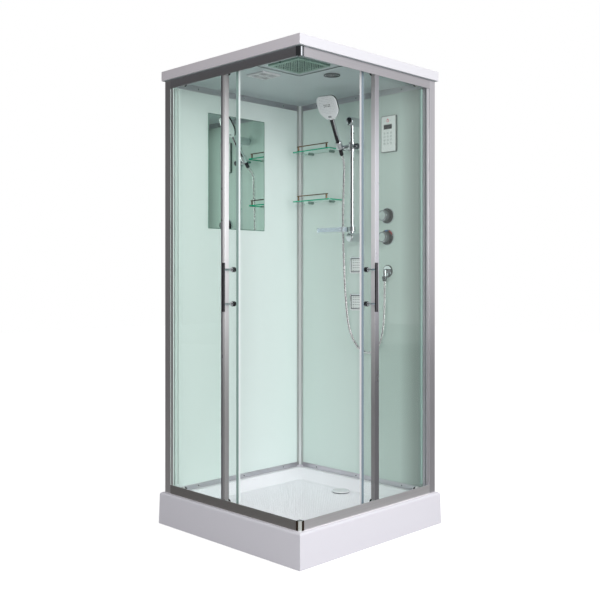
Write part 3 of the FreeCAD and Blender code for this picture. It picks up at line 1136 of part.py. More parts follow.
keep("shelf_fittings", group("shelf_fittings", *fittings))

# Hose: from the hand shower's nut to the outlet's nut, along points chosen by hand.
# The points are given for the hose's two ends as drawn, and stretch with the real ones.
hand_foot = Vector(*[amount(size) for size in hand_place])
hose_top = hand_foot + hand_turn.multVec(Vector(0, 0, amount(nut_low - s.seat_gap)))
hose_end = Vector(amount(s.valve_x), amount(elbow_y), amount(s.hose_start - s.seat_gap))
HOSE_DRAWN_TOP = Vector(-64.61, 367.71, 1794.17)
HOSE_DRAWN_END = Vector(183, 402, 1149.7)
HOSE_POINTS = [(-68.4, 387, 1760), (-76, 396, 1701), (-83, 399, 1600), (-87, 400, 1450), (-83, 401, 1290),
               (-77, 402, 1140), (-66, 403, 1010), (-52, 403, 925), (-30, 404, 870), (-2, 404, 828),
               (34, 403, 800), (76, 403, 789), (118, 403, 802), (149, 403, 836), (167, 403, 885),
               (177, 403, 945), (182, 403, 1020), (183, 402, 1092)]
ARC_SHARE = 0.45


def hose_point(point):
    """A point of the route, moved and stretched with the hose's two ends."""
    drawn = Vector(*point) - HOSE_DRAWN_END
    across = (hose_top - hose_end).x / (HOSE_DRAWN_TOP - HOSE_DRAWN_END).x
    upward = (hose_top - hose_end).z / (HOSE_DRAWN_TOP - HOSE_DRAWN_END).z
    return hose_end + Vector(drawn.x * across, drawn.y * upward, drawn.z * upward)


def rounded_path(points, share):
    """Straight runs joined by tangent arcs as large as the runs allow, with the arcs' radii."""
    edges, radii = [], []
    here = points[0]
    for before, corner, after in zip(points, points[1:], points[2:]):
        into = (corner - before).normalize()
        onward = (after - corner).normalize()
        reach = share * min((corner - before).Length, (after - corner).Length)
        turn = into.getAngle(onward)
        radius = reach / math.tan(turn / 2)
        start = corner - into * reach
        end = corner + onward * reach
        middle = corner + (onward - into).normalize() * (radius / math.cos(turn / 2) - radius)
        edges.append(Part.LineSegment(here, start).toShape())
        edges.append(Part.Arc(start, middle, end).toShape())
        radii.append(radius)
        here = end
    edges.append(Part.LineSegment(here, points[-1]).toShape())
    return Part.Wire(edges), radii


hose_route = [hose_top] + [hose_point(point) for point in HOSE_POINTS] + [hose_end]
hose_path, hose_radii = rounded_path(hose_route, ARC_SHARE)
hose_circle = Part.Wire(Part.Circle(hose_top, hose_route[1] - hose_top, amount(s.hose_radius)).toShape())
hose = doc.addObject("Part::Feature", "shower_hose")
hose.Shape = hose_path.makePipeShell([hose_circle], True, False)
hose_volume = math.pi * amount(s.hose_radius) ** 2 * hose_path.Length
print("hose length", round(hose_path.Length), "tube", round(hose.Shape.Volume), "section x length",
      round(hose_volume), "radii", [round(radius) for radius in hose_radii])
keep("shower_hose", hose)

# Check every object, then write each sub-part's solids
doc.recompute()
faults = [item.Name for item in doc.Objects if "Invalid" in item.State or "Error" in item.State]
faults += [node.Label for node in nodes if node.Shape.isNull() or not node.Shape.isValid()]
if faults:
    raise SystemExit("faults: " + ", ".join(faults))
for node in nodes:
    node.Shape.exportStep(f"parts/{node.Label}.step")
    print(node.Label, len(node.Shape.Solids), round(node.Shape.Volume / 1000))
print(len(nodes), "nodes")
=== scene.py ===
"""Shower cabin with two sliding doors: its looks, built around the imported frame.

Metres, +Z up, the open corner towards +X and -Y, the glass walls at -X and +Y.
"""
import math

import bmesh
import bpy
from bpy.props import FloatProperty, FloatVectorProperty, PointerProperty
from mathutils import Matrix, Vector
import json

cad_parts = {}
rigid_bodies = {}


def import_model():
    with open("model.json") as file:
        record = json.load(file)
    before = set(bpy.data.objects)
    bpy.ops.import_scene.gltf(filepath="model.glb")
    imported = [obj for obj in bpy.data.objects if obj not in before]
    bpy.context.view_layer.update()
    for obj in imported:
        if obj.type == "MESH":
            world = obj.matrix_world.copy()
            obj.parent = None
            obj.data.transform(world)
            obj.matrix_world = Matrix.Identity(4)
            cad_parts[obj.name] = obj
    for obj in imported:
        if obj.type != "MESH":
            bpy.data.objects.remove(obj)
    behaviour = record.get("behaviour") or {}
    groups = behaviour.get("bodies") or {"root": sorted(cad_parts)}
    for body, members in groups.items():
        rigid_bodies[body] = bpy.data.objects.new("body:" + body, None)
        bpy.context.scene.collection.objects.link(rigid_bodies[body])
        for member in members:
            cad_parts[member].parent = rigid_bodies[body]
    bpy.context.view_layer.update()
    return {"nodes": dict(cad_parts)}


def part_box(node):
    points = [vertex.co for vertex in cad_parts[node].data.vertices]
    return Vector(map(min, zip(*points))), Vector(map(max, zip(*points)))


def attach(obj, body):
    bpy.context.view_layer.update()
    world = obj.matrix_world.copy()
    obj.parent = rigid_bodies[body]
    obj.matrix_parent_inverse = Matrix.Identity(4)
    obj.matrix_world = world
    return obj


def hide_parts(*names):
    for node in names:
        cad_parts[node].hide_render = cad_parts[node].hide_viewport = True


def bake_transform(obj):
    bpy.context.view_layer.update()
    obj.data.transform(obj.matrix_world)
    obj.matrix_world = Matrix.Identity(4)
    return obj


for start_up_object in list(bpy.data.objects):
    bpy.data.objects.remove(start_up_object)
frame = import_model()

bl_info = {
    "name": "Shower cabin",
    "version": (1, 0, 0),
    "blender": (4, 5, 0),
    "location": "3D View > Sidebar > Shower cabin",
    "description": "Finishes and detailed pieces of a shower cabin with two sliding doors",
    "category": "Add Mesh",
}

MM = 0.001
WHOLE_TURN = 2 * math.pi
SQUARE = math.pi / 2


def ink(red, green, blue):
    """A colour given as it shows on a screen, 0 to 255, in the values that Blender calculates with."""
    def plain(value):
        share = value / 255
        return share / 12.92 if share <= 0.04045 else ((share + 0.055) / 1.055) ** 2.4
    return plain(red), plain(green), plain(blue)


def colour(label, about, red, green, blue):
    return FloatVectorProperty(name=label, description=about, subtype="COLOR", size=3, min=0, max=1,
                               default=ink(red, green, blue))


def number(label, about, default, **more):
    return FloatProperty(name=label, description=about, default=default, **more)


def length(label, about, millimetres):
    return number(label, about, millimetres * MM, subtype="DISTANCE", unit="LENGTH", min=0)


class CabinColours(bpy.types.PropertyGroup):
    """Colours of the cabin's finishes."""
    acrylic: colour("Acrylic", "Tray and roof", 226, 224, 232)
    # Painted shade: the ceiling's acrylic is greyed.
    ceiling: colour("Ceiling", "Underside of the roof, greyed as painted shade", 198, 209, 211)
    aluminium: colour("Aluminium", "Posts, rails and edge profiles", 208, 206, 211)
    chrome: colour("Chrome", "Handles, knobs, bar and corner joints", 222, 224, 227)
    painted_glass: colour("Painted glass", "The two glass walls", 215, 231, 225)
    clear_glass: colour("Clear glass", "Doors and fixed panes", 250, 254, 252)
    shelf_edge: colour("Shelf edge", "Cut edge of the glass shelves", 10, 172, 132)
    panel: colour("Control panel", "Face of the control panel", 240, 243, 242)
    hot_mark: colour("Hot mark", "Mark on the temperature knob's plate", 200, 40, 40)
    cold_mark: colour("Cold mark", "Mark on the temperature knob's plate", 40, 110, 190)


class CabinSizes(bpy.types.PropertyGroup):
    """Sizes of the details that are added to the frame."""
    profile_edge: length("Profile edge", "Rounding of the aluminium profiles' edges", 0.7)
    basin_round: length("Basin rounding", "Rounding where the tray's basin turns", 9)
    grip_pitch: length("Grip spacing", "Distance between the tray's anti-slip studs", 12)
    grip_radius: length("Grip stud radius", "Radius of an anti-slip stud", 3.2)
    hose_pitch: length("Hose rib spacing", "Distance between the hose's ribs", 3.4)
    hose_rib: length("Hose rib depth", "Depth of the groove between two ribs", 0.7)


class CabinStudio(bpy.types.PropertyGroup):
    """Camera and light."""
    camera_place: FloatVectorProperty(name="Camera", description="Place of the camera", subtype="TRANSLATION",
                                      unit="LENGTH", size=3, default=(2.8805, -2.8805, 1.1712))
    lens: number("Lens", "Focal length on a 36 mm sensor", 51.40, unit="CAMERA")
    frame_shift: number("Frame shift", "Share of the frame by which it sits low", -0.0382)
    key_power: number("Key light", "Power of the large light at the right", 106, unit="POWER")
    fill_power: number("Fill light", "Power of the light at the left", 42, unit="POWER")
    surround: number("Surround", "Strength of the light from all round", 0.72)
    reflected_dark: number("Dark side", "Strength of what metal reflects from the left", 0.17)
    reflected_bright: number("Bright side", "Strength of what metal reflects from the right", 0.95)


def sizes():
    return bpy.context.scene.cabin_sizes


def colours():
    return bpy.context.scene.cabin_colours


# Node trees

NOISE_RANGE = (0.3, 0.7)
BUMP_DISTANCE = 0.0004
SOCKET_KINDS = {float: "Float", int: "Int", tuple: "Vector"}


def lead(tree, source, socket):
    """Feed a socket from another socket, from a node's first output or with a plain value."""
    if isinstance(source, bpy.types.Node):
        source = source.outputs[0]
    if isinstance(source, bpy.types.NodeSocket):
        tree.links.new(source, socket)
    else:
        socket.default_value = source


def wire(tree, kind, inputs=None, **settings):
    """A node of a tree, with its settings and what feeds its inputs."""
    made = tree.nodes.new(kind)
    for key, value in settings.items():
        setattr(made, key, value)
    for key, value in (inputs or {}).items():
        lead(tree, value, made.inputs[key])
    return made


def figure(tree, operation, *values, kind="ShaderNodeMath"):
    return wire(tree, kind, dict(enumerate(values)), operation=operation)


def vectors(tree, operation, *values):
    return figure(tree, operation, *values, kind="ShaderNodeVectorMath")


def spread(tree, value, start, end, low=0.0, high=1.0, kind="LINEAR"):
    """A value carried over from one range to another."""
    return wire(tree, "ShaderNodeMapRange", {"Value": value, "From Min": start, "From Max": end, "To Min": low,
                                             "To Max": high}, interpolation_type=kind)


def own_place(tree):
    return wire(tree, "ShaderNodeTexCoord").outputs["Object"]


def new_group(name, kind, inputs, outputs):
    """A node group. An input is given as its default, or in words as its kind, like the outputs."""
    tree = bpy.data.node_groups.new(name, kind)
    for label, default in inputs.items():
        words = default if isinstance(default, str) else SOCKET_KINDS[type(default)]
        item = tree.interface.new_socket(label, in_out="INPUT", socket_type="NodeSocket" + words)
        if words is not default:
            item.default_value = default
    for label, words in outputs.items():
        tree.interface.new_socket(label, in_out="OUTPUT", socket_type="NodeSocket" + words)
    return tree, tree.nodes.new("NodeGroupInput").outputs, tree.nodes.new("NodeGroupOutput").inputs


def patches_group():
    """Soft patches of more and less gloss, as dried water and handling leave them."""
    tree, given, result = new_group("Handled patches", "ShaderNodeTree",
                                    {"Scale": 6.0, "Low": 0.1, "High": 0.2}, {"Roughness": "Float"})
    noise = wire(tree, "ShaderNodeTexNoise",
                 {"Vector": own_place(tree), "Scale": given["Scale"], "Detail": 4, "Roughness": 0.6})
    lead(tree, spread(tree, noise, *NOISE_RANGE, given["Low"], given["High"]), result["Roughness"])
    return tree


def grain_group():
    """Fine lines along one direction, as brushing and drawing leave them."""
    tree, given, result = new_group("Drawn grain", "ShaderNodeTree", {"Stretch": (3.0, 3.0, 900.0)},
                                    {"Height": "Float", "Tone": "Float"})
    stretched = vectors(tree, "MULTIPLY", own_place(tree), given["Stretch"])
    lines = wire(tree, "ShaderNodeTexNoise", {"Vector": stretched, "Scale": 1.0, "Detail": 3})
    lead(tree, lines, result["Height"])
    lead(tree, spread(tree, lines, *NOISE_RANGE, 0.92, 1.04), result["Tone"])
    return tree


def skin_group():
    """The slight unevenness of a moulded or sprayed surface."""
    tree, given, result = new_group("Moulded skin", "ShaderNodeTree", {"Scale": 250.0}, {"Height": "Float"})
    noise = wire(tree, "ShaderNodeTexNoise", {"Vector": own_place(tree), "Scale": given["Scale"], "Detail": 2})
    lead(tree, noise, result["Height"])
    return tree


def painted_shade_group():
    """Painted shade on upright metal, darker towards the floor and under the roof, brightest at eye height."""
    tree, given, result = new_group("Painted shade by height", "ShaderNodeTree", {"Depth": 0.5}, {"Tone": "Float"})
    height = wire(tree, "ShaderNodeSeparateXYZ", {0: own_place(tree)}).outputs["Z"]
    rise = spread(tree, height, 0.55, 1.45, kind="SMOOTHSTEP")
    fall = spread(tree, height, 2.15, 1.6, kind="SMOOTHSTEP")
    dim = figure(tree, "SUBTRACT", 1.0, figure(tree, "MINIMUM", rise, fall))
    lead(tree, figure(tree, "SUBTRACT", 1.0, figure(tree, "MULTIPLY", dim, given["Depth"])), result["Tone"])
    return tree


GROUP_MAKERS = {"patches": patches_group, "grain": grain_group, "skin": skin_group, "shade": painted_shade_group}
GROUPS = {}
FINISHES = {}


def effect(tree, key, **inputs):
    """One of the shared shader groups, placed in a material."""
    if key not in GROUPS:
        GROUPS[key] = GROUP_MAKERS[key]()
    return wire(tree, "ShaderNodeGroup", inputs, node_tree=GROUPS[key])


def painted_light_ramp(tree, along, low, high, stops):
    """Painted light and shade along a direction of the object, through the given (share, tone) stops."""
    reach = vectors(tree, "DOT_PRODUCT", own_place(tree), along).outputs["Value"]
    toned = wire(tree, "ShaderNodeValToRGB", {"Fac": spread(tree, reach, low, high)})
    elements = toned.color_ramp.elements
    for index, (at, tone) in enumerate(stops):
        element = elements[index] if index < 2 else elements.new(at)
        element.position = at
        element.color = (tone, tone, tone, 1)
    return toned


def let_light_through(tree, shader, tint):
    """Let the lamps' light through clear glass or plastic that still shows as itself."""
    path = wire(tree, "ShaderNodeLightPath").outputs
    soft = figure(tree, "MAXIMUM", path["Is Shadow Ray"], path["Is Diffuse Ray"])
    mirrored = figure(tree, "SUBTRACT", path["Is Glossy Ray"], path["Is Transmission Ray"])
    open_way = wire(tree, "ShaderNodeBsdfTransparent", {"Color": (*tint, 1)})
    rays = figure(tree, "MAXIMUM", soft, mirrored)
    mix = wire(tree, "ShaderNodeMixShader", {0: rays, 1: shader, 2: open_way})
    lead(tree, mix, tree.nodes["Material Output"].inputs["Surface"])


def surface(name, base, roughness, metallic=0.0, patches=None, skin=None, grain=None, shade=None, ramp=None,
            clear=None, **sockets):
    """A Principled material with the shared effects that its real finish shows.

    patches is (scale, lowest, highest roughness), skin is (scale, depth) and grain is (stretch, depth). shade
    is the share of painted shade that upright metal takes towards the floor and under the roof, ramp is
    (direction, low, high, stops) of painted light and shade along the object, and clear is the tint of the
    light that passes through.
    """
    material = bpy.data.materials.new(name)
    material.use_nodes = True
    tree = material.node_tree
    shader = tree.nodes["Principled BSDF"]
    shader.inputs["Base Color"].default_value = (*base, 1)
    shader.inputs["Roughness"].default_value = roughness
    shader.inputs["Metallic"].default_value = metallic
    for key, value in sockets.items():
        shader.inputs[key.replace("_", " ").title().replace("Ior", "IOR")].default_value = value
    heights, tones = [], []
    if patches:
        scale, low, high = patches
        lead(tree, effect(tree, "patches", Scale=scale, Low=low, High=high), shader.inputs["Roughness"])
    if skin:
        heights.append((effect(tree, "skin", Scale=skin[0]), skin[1]))
    if grain:
        made = effect(tree, "grain", Stretch=grain[0])
        heights.append((made.outputs["Height"], grain[1]))
        tones.append(made.outputs["Tone"])
    if shade:
        tones.append(effect(tree, "shade", Depth=shade))
    if ramp:
        tones.append(painted_light_ramp(tree, *ramp))
    painted = tuple(base)
    for tone in tones:
        painted = wire(tree, "ShaderNodeVectorMath", {0: painted, "Scale": tone}, operation="SCALE")
    if tones:
        lead(tree, painted, shader.inputs["Base Color"])
    for height, depth in heights:
        bump = wire(tree, "ShaderNodeBump", {"Height": height, "Strength": depth, "Distance": BUMP_DISTANCE})
        lead(tree, bump, shader.inputs["Normal"])
    if clear:
        let_light_through(tree, shader, clear)
    return material


RAIL_GRAIN = {"grain": ((3, 3, 900), 0.015)}
POST_GRAIN = {"grain": ((900, 900, 3), 0.015)}
PAINT = {"specular_ior_level": 0.12}
GLASS = dict(clear=(0.985, 0.99, 0.99), transmission_weight=1.0, ior=1.45, specular_tint=(0.25, 0.28, 0.27, 1))
CALM, PAINTED, MATT = (3, 0.28, 0.32), (3, 0.32, 0.37), (40, 0.26, 0.34)
SATIN, BEAD, PLATED = (9, 0.29, 0.32), (9, 0.28, 0.32), (25, 0.06, 0.14)
# Painted light and shade: a light band down the back post between two shaded ones.
COVE_PAINTED_LIGHT_BANDS = ((1, 1, 0), -0.036, 0.036, [(0, 0.6), (0.36, 0.6), (0.43, 1), (0.6, 1), (0.67, 0.6), (1, 0.6)])
# Painted light and shade along the left wall: brightest at the back corner, with a darker dip part way along.
LEFT_WALL_PAINTED_LIGHT = ((0, 1, 0), -0.43, 0.43, [(0, 0.89), (0.35, 0.89), (0.46, 0.8), (0.62, 0.86), (1, 1)])
# Painted shade on the back wall, darker towards the right post.
BACK_WALL_PAINTED_SHADE = ((1, 0, 0), -0.43, 0.43,
                   [(0, 1), (0.465, 1), (0.535, 0.86), (0.8, 0.86), (0.905, 0.53), (1, 0.5)])

# A finish's name, colour, roughness, metallic share, patches and what else its surface has
RECIPES = {
    "acrylic": ("White acrylic", "acrylic", 0.3, 0, CALM),
    # Painted shade: a darker copy of the white acrylic for the roof.
    "roof_acrylic_painted_shade": ("White acrylic of the roof, darkened as painted shade", (219, 218, 224), 0.3, 0, CALM),
    "acrylic_shade": ("White acrylic in the shade", (208, 203, 209), 0.3, 0, CALM),
    # Painted light: a brighter copy of the white acrylic for the basin.
    "basin": ("Glossy basin acrylic, brightened as painted light", (252, 250, 255), 0.3, 0, CALM, {"specular_ior_level": 0.25}),
    # Painted shade: the roof's underside greyed.
    "ceiling": ("Ceiling acrylic, greyed as painted shade", "ceiling", 0.3, 0, CALM),
    "rail_metal": ("Satin aluminium along the rails", "aluminium", 0.3, 1, SATIN, RAIL_GRAIN),
    "post_metal": ("Satin aluminium along the posts", "aluminium", 0.3, 1, SATIN, POST_GRAIN),
    # Painted light and shade in bands down the back post.
    "cove_painted_light": ("Bright aluminium of the back post", (244, 248, 247), 0.38, 0.6, (9, 0.34, 0.42),
                   {"ramp": COVE_PAINTED_LIGHT_BANDS}),
    # Painted light: brighter than the plain aluminium, with painted shade by height.
    "edge_metal_painted_light": ("Aluminium of the glass edges, brightened as painted light", (236, 235, 243), 0.28, 1, (9, 0.27, 0.3),
                   {"shade": 0.62}),
    # Painted highlight on a profile's bead, with painted shade by height.
    "bead_painted_highlight": ("Painted highlight on a profile's bead", (255, 253, 255), 0.3, 0.25, BEAD, {"shade": 0.66}),
    # Painted light: a brighter side of a profile, with painted shade by height.
    "flank_painted_light": ("Side of a profile, brightened as painted light", (250, 247, 250), 0.36, 0.3, (9, 0.34, 0.38), {"shade": 0.7}),
    # Painted shade: a darker, less metallic side of a profile.
    "flank_painted_shade": ("Satin side of a profile, darkened as painted shade", (196, 194, 201), 0.36, 0.3, (9, 0.32, 0.4),
                    {"grain": ((900, 900, 3), 0.05)}),
    # Painted shade: a darker copy of the aluminium for the top rails.
    "top_rail_painted_shade": ("Satin aluminium of the top rails, darkened as painted shade", (194, 191, 196), 0.3, 1, SATIN, RAIL_GRAIN),
    "rail_shade": ("Satin aluminium in the shade", (164, 160, 158), 0.3, 1, SATIN, RAIL_GRAIN),
    "rail_light": ("Satin aluminium in the light", (238, 236, 238), 0.3, 1, SATIN, RAIL_GRAIN),
    # Painted highlight on the rails' upper edge.
    "rail_painted_highlight": ("Painted highlight on the rails' upper edge", (226, 226, 230), 0.3, 0.25, BEAD),
    # Painted light: a brighter copy of the aluminium for the left post, with painted shade by height.
    "post_light": ("Satin aluminium of the left post", (236, 232, 234), 0.3, 1, SATIN,
                   {**POST_GRAIN, "shade": 0.2}),
    "cap_light": ("Lit plating of the lower corner cap", (226, 230, 226), 0.1, 0.6, PLATED),
    # Painted reflection: dark brownish plating on the lower corner cap.
    "cap_painted_dark_reflection": ("Painted dark reflection on the lower corner cap", (70, 54, 42), 0.1, 0.8, PLATED),
    "rain_plate": ("Brushed rain head plate", (150, 178, 166), 0.3, 0.6, (20, 0.26, 0.36)),
    # Painted reflection: chrome dimmed for dark surroundings.
    "chrome_painted_dim_reflection": ("Chrome dimmed as painted reflection", (118, 120, 124), 0.06, 1, (25, 0.04, 0.1)),
    "chrome": ("Chrome plating", "chrome", 0.06, 1, (25, 0.03, 0.1)),
    # Painted reflection: chrome darkened for dark surroundings.
    "chrome_painted_dark_reflection": ("Chrome darkened as painted reflection", (74, 72, 76), 0.1, 1, PLATED),
    # Painted reflection: plating darkened for dark surroundings.
    "plate_painted_dark_reflection": ("Plating darkened as painted reflection", (52, 58, 58), 0.12, 1, (25, 0.08, 0.16)),
    # Painted light: the walls' colour on the left post's shaded flank and the front door's rear seal.
    "wall_colour_painted_light": ("Wall colour as painted light on shaded flanks and seals", "painted_glass", 0.34, 0, PAINTED, PAINT),
    # Painted light and shade along the left wall, on a brighter copy of the painted glass.
    "left_wall_painted_light": ("Painted glass of the left wall", (237, 249, 246), 0.34, 0, PAINTED,
                  {**PAINT, "ramp": LEFT_WALL_PAINTED_LIGHT}),
    # Painted shade on the back wall towards the right post.
    "back_wall_painted_shade": ("Painted glass of the back wall", "painted_glass", 0.34, 0, PAINTED,
                  {**PAINT, "ramp": BACK_WALL_PAINTED_SHADE}),
    "clear_glass": ("Clear door glass", "clear_glass", 0, 0, None, GLASS),
    "shelf_glass": ("Shelf glass", (214, 240, 232), 0, 0, None, GLASS),
    "clear_acrylic": ("Clear acrylic", (228, 236, 243), 0.06, 0, None,
                      dict(clear=(0.97, 0.98, 0.98), transmission_weight=0.76, ior=1.45)),
    "shelf_edge": ("Cut edge of the shelf glass", "shelf_edge", 0.12, 0, (40, 0.08, 0.2), {"coat_weight": 0.5}),
    "pane_edge": ("Cut edge of a pane", (168, 192, 186), 0.3, 0, MATT),
    "mirror": ("Mirror", (238, 255, 247), 0.01, 1, (4, 0.005, 0.02)),
    "mirror_edge": ("Ground edge of the mirror", (96, 128, 116), 0.3, 0, MATT),
    "seal": ("White soft seal", (224, 231, 232), 0.3, 0, (30, 0.26, 0.34)),
    "seal_clip": ("Grey grip of the seal", (150, 178, 172), 0.35, 0, (30, 0.3, 0.4)),
    "seal_bright": ("Lit soft seal", (255, 252, 255), 0.3, 0, (30, 0.26, 0.34)),
    # Painted shade: a darker grip for the right door's seal.
    "clip_shade": ("Grip of the lit seal, darkened as painted shade", (120, 136, 146), 0.35, 0, (30, 0.3, 0.4)),
    "rubber": ("Dark rubber", (52, 54, 56), 0.6, 0, (40, 0.5, 0.7), {"skin": (500, 0.3)}),
    # Painted light: the glazing seals lightened.
    "pale_rubber_painted_light": ("Silicone, lightened as painted light", (236, 245, 240), 0.5, 0, (40, 0.4, 0.6), {"skin": (500, 0.2)}),
    "zinc": ("Zinc plated steel", (160, 163, 166), 0.42, 0.9, (12, 0.3, 0.55), {"skin": (180, 0.2)}),
    "black_plastic": ("Black moulded plastic", (38, 38, 40), 0.5, 0, (30, 0.4, 0.6), {"skin": (600, 0.3)}),
    "white_plastic": ("White moulded plastic", (232, 234, 236), 0.32, 0, (25, 0.24, 0.4),
                      {"skin": (500, 0.12)}),
    "grey_plastic": ("Grey moulded plastic", (150, 154, 156), 0.42, 0, (25, 0.34, 0.5), {"skin": (500, 0.15)}),
    "wheel_plastic": ("Wheel nylon", (214, 216, 214), 0.4, 0, (60, 0.3, 0.5), {"skin": (700, 0.15)}),
    "steel": ("Polished steel", (205, 209, 209), 0.16, 1, (20, 0.1, 0.24)),
    "hose_steel": ("Hose steel", (238, 233, 235), 0.26, 1, (60, 0.22, 0.3)),
    "copper": ("Copper pipe", (196, 128, 92), 0.3, 1, (14, 0.22, 0.42)),
    "clip_metal": ("Grey shelf clips", (128, 150, 142), 0.3, 0.5, MATT),
    "gallery_metal": ("Bronzed shelf rail", (132, 112, 90), 0.1, 1, (30, 0.06, 0.14)),
    "panel": ("Control panel face", "panel", 0.22, 0, (15, 0.16, 0.28), {"skin": (400, 0.08)}),
    "display": ("Black display glass", (8, 9, 11), 0.3, 0, (30, 0.25, 0.35), {"specular_ior_level": 0.1}),
    "icon": ("Grey printed mark", (138, 158, 154), 0.4, 0, (60, 0.35, 0.45)),
    # Painted shade: darkens the control panel's sides and a thin band round its face.
    "outline": ("Painted shade on the panel's sides and rim", (66, 84, 80), 0.35, 0, (60, 0.3, 0.4)),
    "power_mark": ("Printed power ring", (226, 120, 128), 0.35, 0, (60, 0.3, 0.4)),
    "hot_mark": ("Red mark", "hot_mark", 0.25, 0, (60, 0.2, 0.3)),
    "cold_mark": ("Blue mark", "cold_mark", 0.25, 0, (60, 0.2, 0.3)),
    "jet_face": ("Face of a body jet", (236, 242, 240), 0.3, 0, MATT),
    "groove": ("Shaded groove", (70, 78, 80), 0.5, 0, (40, 0.45, 0.55)),
}


def finish(key):
    """The material of a finish, made when it is first asked for."""
    if key not in FINISHES:
        name, base, roughness, metallic, patches, *more = RECIPES[key]
        base = getattr(colours(), base) if isinstance(base, str) else ink(*base)
        FINISHES[key] = surface(name, base, roughness, metallic, patches, **(more[0] if more else {}))
    return FINISHES[key]


# Mesh work

def settle(obj, body, replaced=()):
    """Link a finished piece into the scene, tie it to its body and hide the CAD nodes that it replaces."""
    if obj.name not in bpy.context.scene.collection.objects:
        bpy.context.scene.collection.objects.link(obj)
    if body:
        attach(obj, body)
    if replaced:
        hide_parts(*replaced)
    return obj


def weigh_normals(mesh):
    """Let large faces set the shading at their corners, so that flats stay flat beside rounded edges."""
    sums = [Vector() for _ in mesh.vertices]
    for face in mesh.polygons:
        for corner in face.vertices:
            sums[corner] += face.normal * face.area
    for edge in mesh.edges:
        if edge.use_edge_sharp:
            for corner in edge.vertices:
                sums[corner] = Vector()
    units = [tuple(total.normalized()) for total in sums]
    mesh.normals_split_custom_set([units[loop.vertex_index] for loop in mesh.loops])


def finished_mesh(name, bm, finishes, crease=35, outward=True):
    """A mesh with merged corners, outward faces and smooth shading up to an angle."""
    bmesh.ops.remove_doubles(bm, verts=bm.verts, dist=1e-6)
    if outward:
        bmesh.ops.recalc_face_normals(bm, faces=bm.faces)
    limit = math.radians(crease)
    for edge in bm.edges:
        edge.smooth = edge.calc_face_angle(0) < limit
    for face in bm.faces:
        face.smooth = True
    mesh = bpy.data.meshes.new(name)
    bm.to_mesh(mesh)
    bm.free()
    weigh_normals(mesh)
    for key in finishes:
        mesh.materials.append(finish(key))
    return mesh


def piece(name, bm, finishes, body="root", replaced=(), crease=35):
    return settle(bpy.data.objects.new(name, finished_mesh(name, bm, finishes, crease)), body, replaced)


def refined(node, name, key, body, edge, segments=2, soft=None):
    """A copy of a CAD node with joined faces and rounded edges.

    soft is a test for edges that get a larger rounding first, with that rounding's size.
    """
    bm = bmesh.new()
    bm.from_mesh(frame["nodes"][node].data)
    bmesh.ops.remove_doubles(bm, verts=bm.verts, dist=2e-6)
    bmesh.ops.dissolve_limit(bm, angle_limit=math.radians(0.3), verts=bm.verts, edges=bm.edges)
    sharp = math.radians(30)
    soft_test, soft_size = soft or (None, 0)
    for test, size, steps in ((soft_test, soft_size, 5),
                              (lambda e: e.calc_face_angle(0) > sharp, edge, segments)):
        if size:
            picked = [e for e in bm.edges if len(e.link_faces) == 2 and test(e)]
            bmesh.ops.bevel(bm, geom=picked, offset=size, segments=steps, affect="EDGES", profile=0.5,
                            clamp_overlap=True)
    mesh = finished_mesh(name, bm, [key], outward=False)
    return settle(bpy.data.objects.new(name, mesh), body, [node])


def split_finish(obj, key, test):
    """Give the faces that pass a test of their middle and normal another finish."""
    obj.data.materials.append(finish(key))
    last = len(obj.data.materials) - 1
    for face in obj.data.polygons:
        if test(face.center, face.normal):
            face.material_index = last
    return obj


def dress(**finishes):
    """Give the CAD nodes that stay their finishes."""
    for node, key in finishes.items():
        mesh = frame["nodes"][node].data
        mesh.materials.clear()
        mesh.materials.append(finish(key))


def middle_of(node):
    low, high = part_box(node)
    return (low + high) / 2


def loft(bm, rings, closed=False, capped=True, material=0):
    """Join rings of as many points each; a ring of one point closes to a tip."""
    made = [[bm.verts.new(p) for p in ring] for ring in rings]
    pairs = list(zip(made, made[1:])) + ([(made[-1], made[0])] if closed else [])
    faces = []
    for a, b in pairs:
        count = max(len(a), len(b))
        for k in range(count):
            corners = [a[k % len(a)], a[(k + 1) % len(a)], b[(k + 1) % len(b)], b[k % len(b)]]
            unique = list(dict.fromkeys(corners))
            if len(unique) > 2:
                faces.append(bm.faces.new(unique))
    if capped and not closed:
        for ring in (made[0], made[-1]):
            if len(ring) > 2:
                faces.append(bm.faces.new(ring))
    for face in faces:
        face.material_index = material
    return bm


def softened(outline, radius, steps=3):
    """An open outline of radius and height places with its corners rounded."""
    points = [Vector(p) for p in outline]
    made = [points[0]]
    for before, corner, after in zip(points, points[1:], points[2:]):
        into, onward = (before - corner), (after - corner)
        reach = min(radius, into.length * 0.45, onward.length * 0.45)
        start, end = corner + into.normalized() * reach, corner + onward.normalized() * reach
        for k in range(steps + 1):
            t = k / steps
            made.append(start * (1 - t) ** 2 + corner * 2 * t * (1 - t) + end * t ** 2)
    return made + [points[-1]]


AXES = {"x": (Vector((0, 1, 0)), Vector((0, 0, 1)), Vector((1, 0, 0))),
        "y": (Vector((0, 0, 1)), Vector((1, 0, 0)), Vector((0, 1, 0))),
        "z": (Vector((1, 0, 0)), Vector((0, 1, 0)), Vector((0, 0, 1)))}


def turned(bm, outline, centre, axis="z", sides=48, material=0, closed=False, placed=None):
    """A turned form: the outline's radius and height round an axis through a centre."""
    across, up, onward = AXES[axis]
    rings = []
    for radius, height in outline:
        if radius < 1e-7:
            rings.append([centre + onward * height])
        else:
            rings.append([centre + onward * height + (across * math.cos(WHOLE_TURN * k / sides)
                                                      + up * math.sin(WHOLE_TURN * k / sides)) * radius
                          for k in range(sides)])
    if placed:
        rings = [[placed @ p for p in ring] for ring in rings]
    return loft(bm, rings, closed=closed, material=material)


